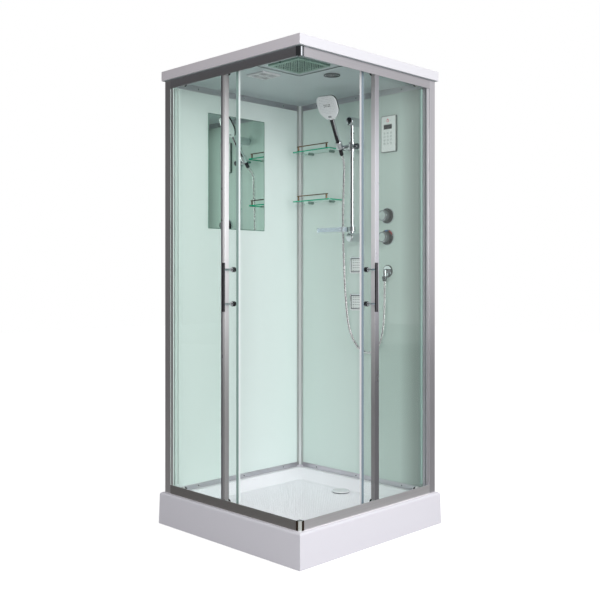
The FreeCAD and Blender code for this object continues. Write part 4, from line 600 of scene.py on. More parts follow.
def rounded_outline(wide, tall, radius, steps=6):
    """The points of a rectangle with round corners, about its own middle."""
    points = []
    for k, (sx, sy) in enumerate(((1, 1), (-1, 1), (-1, -1), (1, -1))):
        cx, cy = sx * (wide / 2 - radius), sy * (tall / 2 - radius)
        for step in range(steps + 1):
            turn = SQUARE * (k + step / steps)
            points.append((cx + math.cos(turn) * radius, cy + math.sin(turn) * radius))
    return points


def slab(bm, wide, tall, radius, levels, to_place, steps=6, material=0, least=0.2, closed=False):
    """A rounded plate built up in levels of (height, inset), placed by a function of across, up and height."""
    rings = [[to_place(a, b, height) for a, b in rounded_outline(wide - inset * 2, tall - inset * 2,
                                                                 max(radius - inset, radius * least), steps)]
             for height, inset in levels]
    return loft(bm, rings, closed=closed, material=material)


def band(bm, wide, tall, radius, width, depth, to_place, steps=5):
    """A closed raised band round a rounded rectangle."""
    return slab(bm, wide, tall, radius, [(0, 0), (depth, 0), (depth, width), (0, width)], to_place, steps,
                least=0.3, closed=True)


def arc_mark(bm, radius, width, depth, middle, reach, to_place, steps=14):
    """A raised mark that follows an arc, its middle and reach in degrees."""
    inner, outer = radius - width / 2, radius + width / 2
    turns = [math.radians(middle + reach * (k / steps - 0.5)) for k in range(steps + 1)]
    return loft(bm, [[to_place(math.cos(turn) * r, math.sin(turn) * r, height)
                      for r, height in ((inner, 0), (inner, depth), (outer, depth), (outer, 0))]
                     for turn in turns])


# Geometry Nodes

def end_tree(tree, given, result, geometry):
    """Real geometry with its finish at the end of a tree."""
    real = wire(tree, "GeometryNodeRealizeInstances", {"Geometry": geometry})
    lead(tree, wire(tree, "GeometryNodeSetMaterial", {"Geometry": real, "Material": given["Finish"]}),
         result["Geometry"])
    return tree


def stud_field_tree():
    """Rows of low round studs on a rectangle, left out inside one circle and outside another."""
    nowhere = (0.0, 0.0, 0.0)
    tree, given, result = new_group("Stud field", "GeometryNodeTree", {
        "Wide": 0.1, "Deep": 0.1, "Pitch": 0.012, "Radius": 0.003, "Top Radius": 0.002, "Height": 0.001,
        "Sides": 8, "Gap Centre": nowhere, "Gap Radius": 0.0, "Reach": 9.0, "Turn": nowhere, "Place": nowhere,
        "Finish": "Material"}, {"Geometry": "Geometry"})

    def count(size):
        return figure(tree, "ADD", figure(tree, "DIVIDE", given[size], given["Pitch"]), 1.001)

    def compared(operation, *values):
        return figure(tree, operation, *values, kind="FunctionNodeCompare")
    grid = wire(tree, "GeometryNodeMeshGrid", {"Size X": given["Wide"], "Size Y": given["Deep"],
                                               "Vertices X": count("Wide"), "Vertices Y": count("Deep")})
    place = wire(tree, "GeometryNodeInputPosition")
    away = vectors(tree, "DISTANCE", place, given["Gap Centre"]).outputs["Value"]
    out = vectors(tree, "LENGTH", place).outputs["Value"]
    left_out = figure(tree, "OR", compared("LESS_THAN", away, given["Gap Radius"]),
                      compared("GREATER_THAN", out, given["Reach"]), kind="FunctionNodeBooleanMath")
    kept = wire(tree, "GeometryNodeDeleteGeometry", {"Geometry": grid, "Selection": left_out}, domain="POINT")
    stud = wire(tree, "GeometryNodeMeshCone", {"Vertices": given["Sides"], "Radius Top": given["Top Radius"],
                                               "Radius Bottom": given["Radius"], "Depth": given["Height"]})
    studs = wire(tree, "GeometryNodeInstanceOnPoints", {"Points": kept, "Instance": stud})
    return end_tree(tree, given, result, wire(tree, "GeometryNodeTransform", {
        "Geometry": studs, "Translation": given["Place"], "Rotation": given["Turn"]}))


def screws_tree():
    """A pan-head screw on each point of a mesh, its head along the point's normal."""
    tree, given, result = new_group("Screw heads", "GeometryNodeTree", {
        "Points": "Geometry", "Radius": 0.004, "Height": 0.002, "Finish": "Material"}, {"Geometry": "Geometry"})
    head = wire(tree, "GeometryNodeMeshCone", {"Vertices": 20, "Radius Top": 0.0022,
                                               "Radius Bottom": given["Radius"], "Depth": given["Height"]})
    slot = wire(tree, "GeometryNodeMeshCube", {"Size": (0.0034, 0.0008, 0.0009)})
    lift = wire(tree, "ShaderNodeCombineXYZ", {"Z": given["Height"]})
    raised = wire(tree, "GeometryNodeTransform", {"Geometry": slot, "Translation": lift})
    whole = wire(tree, "GeometryNodeJoinGeometry")
    for part in (head, raised):
        lead(tree, part, whole.inputs[0])
    turn = wire(tree, "FunctionNodeAlignRotationToVector", {"Vector": wire(tree, "GeometryNodeInputNormal")},
                axis="Z")
    return end_tree(tree, given, result, wire(tree, "GeometryNodeInstanceOnPoints", {
        "Points": given["Points"], "Instance": whole, "Rotation": turn}))


def ribbed_tube_tree():
    """A ribbed tube along part of a curve, its ribs four steps long with the last step low."""
    tree, given, result = new_group("Ribbed tube", "GeometryNodeTree", {
        "Path": "Geometry", "From": 0.0, "To": 1.0, "Radius": 0.007, "Rib Depth": 0.0007, "Rib Pitch": 0.0034,
        "Sides": 16, "Finish": "Material"}, {"Geometry": "Geometry"})
    fine = wire(tree, "GeometryNodeResampleCurve", {"Curve": given["Path"], "Count": 600})
    part = wire(tree, "GeometryNodeTrimCurve", {"Curve": fine, "Start": given["From"], "End": given["To"]},
                mode="LENGTH")
    step = figure(tree, "MULTIPLY", given["Rib Pitch"], 0.25)
    stepped = wire(tree, "GeometryNodeResampleCurve", {"Curve": part, "Length": step}, mode="LENGTH")
    phase = figure(tree, "MODULO", wire(tree, "GeometryNodeInputIndex"), 4)
    depth = figure(tree, "MULTIPLY", figure(tree, "GREATER_THAN", phase, 2.5), given["Rib Depth"])
    radius = figure(tree, "SUBTRACT", given["Radius"], depth)
    ring = wire(tree, "GeometryNodeCurvePrimitiveCircle", {"Resolution": given["Sides"], "Radius": 1.0})
    return end_tree(tree, given, result, wire(tree, "GeometryNodeCurveToMesh", {
        "Curve": stepped, "Profile Curve": ring, "Scale": radius, "Fill Caps": True}))


TREES = {}


def grown(name, tree_maker, source=None, smooth=True, **inputs):
    """The plain mesh that a tree makes from an object, or from nothing."""
    if tree_maker not in TREES:
        TREES[tree_maker] = tree_maker()
    tree = TREES[tree_maker]
    holder = source or bpy.data.objects.new(name + "_layout", bpy.data.meshes.new(name + "_layout"))
    if holder.name not in bpy.context.scene.collection.objects:
        bpy.context.scene.collection.objects.link(holder)
    modifier = holder.modifiers.new("layout", "NODES")
    modifier.node_group = tree
    sockets = {item.name: item.identifier for item in tree.interface.items_tree
               if item.item_type == "SOCKET" and item.in_out == "INPUT"}
    for label, value in inputs.items():
        modifier[sockets[label.replace("_", " ")]] = value
    holder.update_tag()
    graph = bpy.context.evaluated_depsgraph_get()
    mesh = bpy.data.meshes.new_from_object(holder.evaluated_get(graph), preserve_all_data_layers=True,
                                           depsgraph=graph)
    bpy.data.objects.remove(holder)
    mesh.name = name
    if smooth:
        mesh.polygons.foreach_set("use_smooth", [True] * len(mesh.polygons))
    return bpy.data.objects.new(name, mesh)


def stud_field(name, key, wide, deep, pitch, radius, top_radius, height, place, **more):
    """A field of low studs, nozzles or holes in a finish."""
    return grown(name, stud_field_tree, Wide=wide, Deep=deep, Pitch=pitch, Radius=radius, Top_Radius=top_radius,
                 Height=height, Place=tuple(place), Finish=finish(key), smooth=False, **more)


def joined(name, parts):
    """One piece from several made the same way."""
    bm = bmesh.new()
    for part in parts:
        bm.from_mesh(part.data)
    mesh = bpy.data.meshes.new(name)
    bm.to_mesh(mesh)
    bm.free()
    for material in parts[0].data.materials:
        mesh.materials.append(material)
    for part in parts:
        bpy.data.objects.remove(part)
    return bpy.data.objects.new(name, mesh)


class CabinOperator:
    """What all the piece operators share."""
    bl_options = {"REGISTER", "UNDO"}


# The hose's points from the hand shower's nut down and up to the wall outlet, as in the part's source, but the
# second lies nearer to the wall, so that the hose passes behind the soap dish when the slider is low
HOSE_POINTS = [(-64.61, 367.71, 1794.17), (-77, 400, 1762), (-77, 398, 1701), (-83, 399, 1600),
               (-87, 400, 1450), (-83, 401, 1290), (-77, 402, 1140), (-66, 403, 1010), (-52, 403, 925),
               (-30, 404, 870), (-2, 404, 828), (34, 403, 800), (76, 403, 789), (118, 403, 802),
               (149, 403, 836), (167, 403, 885), (177, 403, 945), (182, 403, 1020), (183, 402, 1092),
               (183, 402, 1149.7)]
HOSE_DIAMETER = 14 * MM
HOSE_HEAD_LENGTH = 110 * MM


class CABIN_OT_hose(CabinOperator, bpy.types.Operator):
    """Chrome hose from the hand shower to the wall outlet, in two pieces that meet below the slider"""
    bl_idname = "cabin.hose"
    bl_label = "Hose"

    def execute(self, context):
        def route():
            data = bpy.data.curves.new("hose_route", "CURVE")
            data.dimensions = "3D"
            data.resolution_u = 24
            spline = data.splines.new("NURBS")
            spline.points.add(len(HOSE_POINTS) - 1)
            for point, place in zip(spline.points, HOSE_POINTS):
                point.co = (*(Vector(place) * MM), 1)
            spline.order_u = 3
            spline.use_endpoint_u = True
            made = bpy.data.objects.new("hose_route", data)
            context.scene.collection.objects.link(made)
            return made
        line = route()
        graph = context.evaluated_depsgraph_get()
        bare = bpy.data.meshes.new_from_object(line.evaluated_get(graph), depsgraph=graph)
        points = [v.co.copy() for v in bare.vertices]
        bpy.data.objects.remove(line)
        runs = [(b - a).length for a, b in zip(points, points[1:])]
        whole = sum(runs)
        gone, cut = 0, 0
        while gone + runs[cut] < HOSE_HEAD_LENGTH:
            gone += runs[cut]
            cut += 1
        common = dict(Radius=HOSE_DIAMETER / 2, Rib_Depth=sizes().hose_rib, Rib_Pitch=sizes().hose_pitch,
                      Sides=16, Finish=finish("hose_steel"))
        head = grown("hose_head", ribbed_tube_tree, route(), From=0.0, To=HOSE_HEAD_LENGTH, **common)
        main = grown("hose_main", ribbed_tube_tree, route(), From=HOSE_HEAD_LENGTH, To=whole, **common)
        for obj in (head, main):
            settle(obj, None)
        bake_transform(main)
        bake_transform(head)
        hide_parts("shower_hose")
        return {"FINISHED"}


class CABIN_OT_tray(CabinOperator, bpy.types.Operator):
    """White tray with soft basin edges, anti-slip studs and the drain cover"""
    bl_idname = "cabin.tray"
    bl_label = "Tray and drain"

    def execute(self, context):
        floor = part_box("drain_flange")[1].z
        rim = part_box("shower_tray")[1].z - 8 * MM
        basin_reach, basin_turn = 0.41, math.radians(20)
        drain, drain_clear = Vector((0.004, 0.285)), 0.06

        def basin_edge(edge):
            inside = all(abs(v.co.x) < basin_reach and abs(v.co.y) < basin_reach for v in edge.verts)
            away = all((v.co.xy - drain).length > drain_clear for v in edge.verts)
            level = any(all(abs(v.co.z - height) < MM for v in edge.verts) for height in (floor, rim))
            return inside and away and level and edge.calc_face_angle(0) > basin_turn
        tray = refined("shower_tray", "tray", "acrylic", "root", 0.0015,
                       soft=(basin_edge, sizes().basin_round))
        # The basin's upward faces and the studs get the brighter acrylic: painted light.
        split_finish(tray, "basin", lambda c, n: max(abs(c.x), abs(c.y)) < 0.43 and n.z > 0.05)
        cover = middle_of("drain_cover")
        radius, field, sunk = sizes().grip_radius, 0.60, 0.0003
        studs = stud_field("tray_grip_studs", "basin", field, field, sizes().grip_pitch, radius, radius * 0.6,
                           0.0012, (0, 0, floor - sunk), Gap_Centre=(cover.x, cover.y, 0), Gap_Radius=0.058)
        settle(studs, "root")
        dress(drain_cover="white_plastic", drain_flange="steel", drain_trap="grey_plastic",
              tray_support_frame="zinc", levelling_feet="black_plastic")
        return {"FINISHED"}


class CABIN_OT_profiles(CabinOperator, bpy.types.Operator):
    """Aluminium posts, rails and edge profiles with softened edges, and the chrome corner joints"""
    bl_idname = "cabin.profiles"
    bl_label = "Profiles"

    def execute(self, context):
        drawn = {}
        # The top rails, the back post and the glass edge profiles take finishes with painted light and shade.
        for node, key, slot in (("bottom_rails", "rail_metal", "satin_aluminium"),
                                ("top_rails", "top_rail_painted_shade", "satin_aluminium"),
                                ("wall_rails_bottom", "rail_metal", "wall_aluminium"),
                                ("wall_rails_top", "rail_metal", "wall_aluminium"),
                                ("corner_post_left", "post_metal", "satin_aluminium"),
                                ("corner_post_right", "post_metal", "satin_aluminium"),
                                ("corner_post_back", "cove_painted_light", "wall_aluminium"),
                                ("fixed_edge_profiles", "edge_metal_painted_light", "satin_aluminium")):
            drawn[node] = refined(node, node + "_drawn", key, "root", sizes().profile_edge)
        # Lit and shaded copies of the aluminium, painted highlights and the walls' colour on the left post's
        # shaded flank: painted light and shade.
        for node, key, test in (
                ("bottom_rails", "rail_shade", lambda c, n: n.y < -0.5),
                ("bottom_rails", "rail_light", lambda c, n: n.x > 0.5),
                ("bottom_rails", "rail_painted_highlight", lambda c, n: n.z > 0.7 and max(c.x, -c.y) > 0.447),
                ("corner_post_left", "post_light", lambda c, n: n.y < -0.5),
                ("corner_post_left", "wall_colour_painted_light", lambda c, n: c.x > -0.43 and c.y > -0.4375 or n.x > 0.5),
                ("corner_post_right", "flank_painted_shade", lambda c, n: n.y < -0.5),
                ("fixed_edge_profiles", "flank_painted_light", lambda c, n: c.x > 0.4 and n.y < -0.5),
                ("fixed_edge_profiles", "bead_painted_highlight", lambda c, n: c.x < 0.1 and n.x > 0.5)):
            split_finish(drawn[node], key, test)
        low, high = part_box("fixed_edge_profiles")
        bead_middle, bead_wide, bead_short, bead_round = -0.0208, 0.0140, 0.004, 0.002

        def on_profile(a, b, height):
            return Vector((bead_middle + a, low.y - height, (low.z + high.z) / 2 + b))
        # A thin raised strip on the front edge profile, finished with a painted highlight.
        bead = slab(bmesh.new(), bead_wide, high.z - low.z - bead_short, bead_round,
                    [(-0.0004, 0), (0.0006, 0), (0.0012, 0.0012)], on_profile, steps=3)
        piece("edge_profile_bead_painted_highlight_front", bead, ["bead_painted_highlight"])
        # The corner joints' chrome is dimmed: painted reflection.
        caps = refined("corner_joints", "corner_caps", "chrome_painted_dim_reflection", "root", 0.001, segments=3)
        # The lower corner cap gets a lit and a dark copy of its plating: painted reflection.
        split_finish(caps, "cap_light", lambda c, n: c.z < 1 and n.x > 0.3 and n.y < -0.3)
        split_finish(caps, "cap_painted_dark_reflection", lambda c, n: c.z < 1 and (n.y < -0.97 or n.x > 0.97))
        return {"FINISHED"}


class CABIN_OT_wall_screws(CabinOperator, bpy.types.Operator):
    """Pan-head screws along the wall rails"""
    bl_idname = "cabin.wall_screws"
    bl_label = "Wall rail screws"

    def execute(self, context):
        face, tiny, up = 0.4255, 0.00001, Vector((0, 0, 1))
        bm = bmesh.new()
        for height in (0.1545, 2.0875):
            for along in (-0.30, -0.02, 0.27):
                for place, normal in ((Vector((along, face, height)), Vector((0, -1, 0))),
                                      (Vector((-face, -along, height)), Vector((1, 0, 0)))):
                    across = normal.cross(up)
                    corners = [place + (across * math.cos(a) + up * math.sin(a)) * tiny
                               for a in (0, WHOLE_TURN / 3, 2 * WHOLE_TURN / 3)]
                    target = bm.faces.new([bm.verts.new(corner) for corner in corners])
                    target.normal_update()
                    if target.normal.dot(normal) < 0:
                        target.normal_flip()
        mesh = bpy.data.meshes.new("screw_points")
        bm.to_mesh(mesh)
        bm.free()
        heads = grown("wall_rail_screws", screws_tree, bpy.data.objects.new("screw_points", mesh),
                      Radius=0.0042, Height=0.0018, Finish=finish("steel"), smooth=False)
        settle(heads, "root")
        return {"FINISHED"}


class CABIN_OT_glass(CabinOperator, bpy.types.Operator):
    """Door and fixed panes, painted walls, the mirror and their seals"""
    bl_idname = "cabin.glass"
    bl_label = "Glass and seals"

    def execute(self, context):
        for node, body in (("door_glass_front", "door_front"), ("door_glass_right", "door_right"),
                           ("fixed_glass_front", "root"), ("fixed_glass_right", "root")):
            pane = refined(node, node + "_pane", "clear_glass", body, 0)
            facing = (lambda c, n: abs(n.y) < 0.9) if node.endswith("front") else (lambda c, n: abs(n.x) < 0.9)
            split_finish(pane, "pane_edge", facing)
        # Both walls' finishes carry painted light and shade along their length.
        dress(wall_glass_left="left_wall_painted_light", wall_glass_back="back_wall_painted_shade")
        for side in ("front", "right"):
            node = "door_seals_" + side
            seals = refined(node, node + "_drawn", "seal", "door_" + side, 0)
            split_finish(seals, "seal_clip",
                         lambda c, n: 0.01 < (c.x if abs(c.y) > 0.4 else -c.y) < 0.038 or c.y > 0.3)
            # The right door's seal gets a lit tip and a shaded grip: painted light and shade.
            if side == "right":
                split_finish(seals, "seal_bright", lambda c, n: -c.y > 0.038)
                split_finish(seals, "clip_shade", lambda c, n: 0.01 < -c.y < 0.038)
            else:
                # The front door's rear seal takes the walls' colour: painted light.
                split_finish(seals, "wall_colour_painted_light", lambda c, n: c.x < -0.3)
        # The glazing seals are lightened: painted light.
        dress(glazing_seals="pale_rubber_painted_light")
        refined("wall_mirror", "mirror_pane", "mirror", "root", 0.0015)
        low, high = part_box("wall_mirror")
        middle, inset = middle_of("wall_mirror"), 0.001
        border = band(bmesh.new(), high.y - low.y - inset, high.z - low.z - inset, 0.002, 0.0035, 0.0004,
                      lambda a, b, height: Vector((high.x + height, middle.y + a, middle.z + b)))
        piece("mirror_edge", border, ["mirror_edge"])
        return {"FINISHED"}


class CABIN_OT_doors(CabinOperator, bpy.types.Operator):
    """Handles, wheels and axles of both doors"""
    bl_idname = "cabin.doors"
    bl_label = "Door fittings"

    def execute(self, context):
        for side in ("front", "right"):
            body = "door_" + side
            handle = refined("door_handle_" + side, "handle_" + side, "chrome", body, 0.0012,
                             segments=3)
            # The handle's outer and inner parts and the roller caps are darkened chrome: painted reflection.
            split_finish(handle, "chrome_painted_dark_reflection", lambda c, n: max(c.x, -c.y) > 0.462 or max(c.x, -c.y) < 0.4195)
            refined("roller_axles_" + side, "roller_caps_" + side, "chrome_painted_dark_reflection", body, 0.0006)
            for place in ("bottom_rear", "bottom_front", "top_rear", "top_front"):
                wheel = f"wheel_{side}_{place}"
                refined(wheel, wheel + "_drawn", "wheel_plastic", wheel, 0.0008)
        return {"FINISHED"}


class CABIN_OT_roof(CabinOperator, bpy.types.Operator):
    """Roof, rain head, fan, grille and ceiling speaker"""
    bl_idname = "cabin.roof"
    bl_label = "Roof and ceiling fittings"

    def execute(self, context):
        # The roof's acrylic is darker than the tray's, its front rim darker still and its underside greyed:
        # painted shade.
        roof = refined("roof_canopy", "roof", "roof_acrylic_painted_shade", "root", 0.001)
        split_finish(roof, "acrylic_shade", lambda c, n: n.y < -0.9 and c.y < -0.45)
        split_finish(roof, "ceiling", lambda c, n: max(abs(c.x), abs(c.y)) < 0.44 and c.z < 2.125)
        refined("rain_head", "rain_head_drawn", "rain_plate", "root", 0.0012, segments=3)
        head, ceiling_height = middle_of("rain_head"), 2.1122

        def on_ceiling(a, b, height):
            return Vector((head.x + a, head.y - b, ceiling_height - height))
        piece("rain_recess_edge", band(bmesh.new(), 0.3, 0.3, 0.008, 0.0035, 0.0006, on_ceiling), ["groove"])
        nozzles = stud_field("rain_nozzles", "rubber", 0.154, 0.154, 0.0110, 0.0024, 0.0018, 0.0022,
                             (head.x, head.y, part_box("rain_head")[0].z + 0.0025), Turn=(math.pi, 0, 0))
        settle(nozzles, "root")
        refined("fan_grille", "fan_grille_drawn", "white_plastic", "root", 0.001)
        middle, under = middle_of("fan_grille"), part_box("fan_grille")[0].z
        quarter, rib_pitch = 0.0255, 0.0098

        def on_grille(a, b, height):
            return Vector((middle.x + a, middle.y - b, under - height + 0.0004))
        ribs = band(bmesh.new(), 0.110, 0.110, 0.006, 0.005, 0.0022, on_grille)
        for across, along in ((-1, -1), (-1, 1), (1, -1), (1, 1)):
            def on_quarter(a, b, height, across=across, along=along):
                return on_grille(a + across * quarter, b + along * quarter, height)
            band(ribs, 0.048, 0.048, 0.003, 0.003, 0.002, on_quarter)
            slab(ribs, 0.041, 0.041, 0.002, [(0, 0), (0.0006, 0)], on_quarter, material=1)
            for k in range(4):
                def on_rib(a, b, height, k=k, place=on_quarter):
                    return place(a, b + (k - 1.5) * rib_pitch, height)
                slab(ribs, 0.042, 0.0042, 0.001, [(0.0002, 0), (0.0022, 0.0006)], on_rib, steps=2)
        piece("fan_grille_ribs", ribs, ["white_plastic", "groove"])
        dress(fan_housing="black_plastic", fan_impeller="black_plastic")
        refined("ceiling_speaker", "ceiling_speaker_drawn", "steel", "root", 0.001, segments=3)
        speaker, under = middle_of("ceiling_speaker"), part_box("ceiling_speaker")[0].z
        ring = turned(bmesh.new(), [(0.0388, 0.0006), (0.0388, -0.0012), (0.034, -0.0012), (0.034, 0.0006)],
                      Vector((speaker.x, speaker.y, under)), closed=True)
        piece("ceiling_speaker_ring", ring, ["groove"])
        holes = stud_field("speaker_perforations", "rubber", 0.064, 0.064, 0.004, 0.0013, 0.0011, 0.0006,
                           (speaker.x, speaker.y, under + 0.0002), Sides=6, Reach=0.031, Turn=(math.pi, 0, 0))
        settle(holes, "root")
        return {"FINISHED"}


class CABIN_OT_controls(CabinOperator, bpy.types.Operator):
    """Control panel, knobs, jets and the pipework behind the wall"""
    bl_idname = "cabin.controls"
    bl_label = "Controls"

    def execute(self, context):
        self.control_panel()
        self.knobs()
        self.outlet_and_jets()
        dress(supply_pipes="copper")
        return {"FINISHED"}

    def control_panel(self):
        box = refined("control_panel", "control_panel_box", "panel", "root", 0.0012, segments=3)
        # The panel's sides are darkened: painted shade.
        split_finish(box, "outline", lambda c, n: n.y > -0.5)
        low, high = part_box("control_panel")
        middle = middle_of("control_panel")
        column_middle, ring_height, inset = -0.004, 0.065, 0.001

        def on_panel(a, b, height):
            return Vector((middle.x + a, low.y - height, middle.z + b))

        def at(across, up, sunk=0.0):
            return lambda a, b, height: on_panel(column_middle + across + a, up + b, height - sunk)

        def mark(bm, wide, tall, radius, across, up, depth=0.0003):
            slab(bm, wide, tall, radius, [(0, 0), (depth, 0)], at(across, up), steps=2)
        display = slab(bmesh.new(), 0.0505, 0.0220, 0.001, [(0, 0), (0.001, 0), (0.0012, 0.0003)],
                       at(0, 0.035, 0.0015))
        piece("panel_display", display, ["display"])
        # A thin band round the panel's face, darkened as painted shade.
        border = band(bmesh.new(), high.x - low.x - inset, high.z - low.z - inset, 0.006, 0.0022, 0.0003,
                      on_panel)
        piece("panel_rim_painted_shade", border, ["outline"])
        power = band(bmesh.new(), 0.0155, 0.0155, 0.0077, 0.0028, 0.0003, at(0, ring_height))
        mark(power, 0.003, 0.009, 0.0012, 0, 0.072, 0.0004)
        piece("power_mark", power, ["power_mark"])
        marks = bmesh.new()
        for row in range(4):
            for column in range(3):
                across, up = (column - 1) * 0.0205, 0.004 - row * 0.017
                band(marks, 0.0105, 0.0105, (0.0052, 0.002)[(row + column) % 2], 0.0011, 0.0002, at(across, up),
                     steps=3)
                mark(marks, *((0.005, 0.0016) if row % 2 else (0.0016, 0.005)), 0.0006, across, up)
        for side in (-1, 1):
            mark(marks, 0.008, 0.0012, 0.0004, side * 0.018, ring_height)
        piece("panel_marks", marks, ["icon"])

    def knobs(self):
        centres = {}
        for knob in ("temperature_knob", "diverter_knob"):
            body = refined(knob, knob + "_drawn", "chrome", knob, 0.0022, segments=4)
            # The knob's sides are dimmed chrome: painted reflection.
            split_finish(body, "chrome_painted_dim_reflection", lambda c, n: n.y > -0.5)
            centre = centres[knob] = middle_of(knob)
            front = Vector((centre.x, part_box(knob)[0].y, centre.z))
            face = softened([(0.0, 0.0012), (0.0, -0.0008), (0.0195, -0.0008), (0.0205, 0.0012)], 0.0004)
            piece(knob + "_face", turned(bmesh.new(), face, front, axis="y"), ["steel"], knob)
            ring = [(0.0215, 0.0012), (0.0215, -0.0004), (0.0245, -0.0004), (0.0245, 0.0012)]
            piece(knob + "_ring", turned(bmesh.new(), ring, front, axis="y", closed=True), ["groove"], knob)
        plates = refined("mixer_valve", "mixer_valve_drawn", "chrome", "root", 0.0012, segments=3)
        # The valve plates' front is darkened: painted reflection.
        split_finish(plates, "plate_painted_dark_reflection", lambda c, n: c.y < 0.4225)
        rims = bmesh.new()
        rim = softened([(0.0372, 0.4215), (0.0376, 0.4196), (0.0396, 0.4196), (0.0404, 0.4215)], 0.0006)
        for centre in centres.values():
            turned(rims, rim + [(0.0404, 0.4262), (0.0372, 0.4262)], Vector((centre.x, 0, centre.z)), axis="y",
                   closed=True)
        piece("knob_plate_rims", rims, ["chrome"])
        centre, plate_face = centres["temperature_knob"], 0.4213

        def on_plate(a, b, height):
            return Vector((centre.x + a, plate_face - height, centre.z + b))
        for mark, middle, reach in (("cold_mark", 98, 26), ("hot_mark", 46, 44)):
            arc = arc_mark(bmesh.new(), 0.0335, 0.0042, 0.0009, middle, reach, on_plate)
            piece(mark, arc, [mark])

    def outlet_and_jets(self):
        elbow = refined("wall_outlet_elbow", "wall_outlet_elbow_drawn", "chrome", "root", 0.001,
                        segments=3)
        # The elbow's lower part is dimmed chrome: painted reflection.
        split_finish(elbow, "chrome_painted_dim_reflection", lambda c, n: c.z < 1.172)
        outlet = Vector((0.183, 1.2))
        # The outlet's rosette is darkened round its middle: painted reflection.
        split_finish(elbow, "plate_painted_dark_reflection", lambda c, n: c.y > 0.4185 and (c.xz - outlet).length > 0.02)
        jets = refined("body_jets", "body_jets_drawn", "chrome", "root", 0.0015, segments=3)
        heights, across, inner, jet_side = (1.043, 1.232), -0.015, 0.0352, 0.0712

        def on_face(c, n):
            return (n.y < -0.9 and abs(c.x - across) < inner
                    and min(abs(c.z - height) for height in heights) < inner)
        split_finish(jets, "jet_face", on_face)
        outlines, fields = bmesh.new(), []
        for height in heights:
            def on_jet(a, b, depth, height=height):
                return Vector((across + a, 0.4212 - depth, height + b))
            band(outlines, jet_side, jet_side, 0.004, 0.0042, 0.0006, on_jet)
            fields.append(stud_field(f"jet_nozzles_{height}", "groove", 0.039, 0.052, 0.013, 0.0026, 0.0020,
                                     0.0014, (across, 0.4211, height), Turn=(SQUARE, 0, 0)))
        piece("jet_outlines", outlines, ["groove"])
        settle(joined("jet_nozzles", fields), "root")


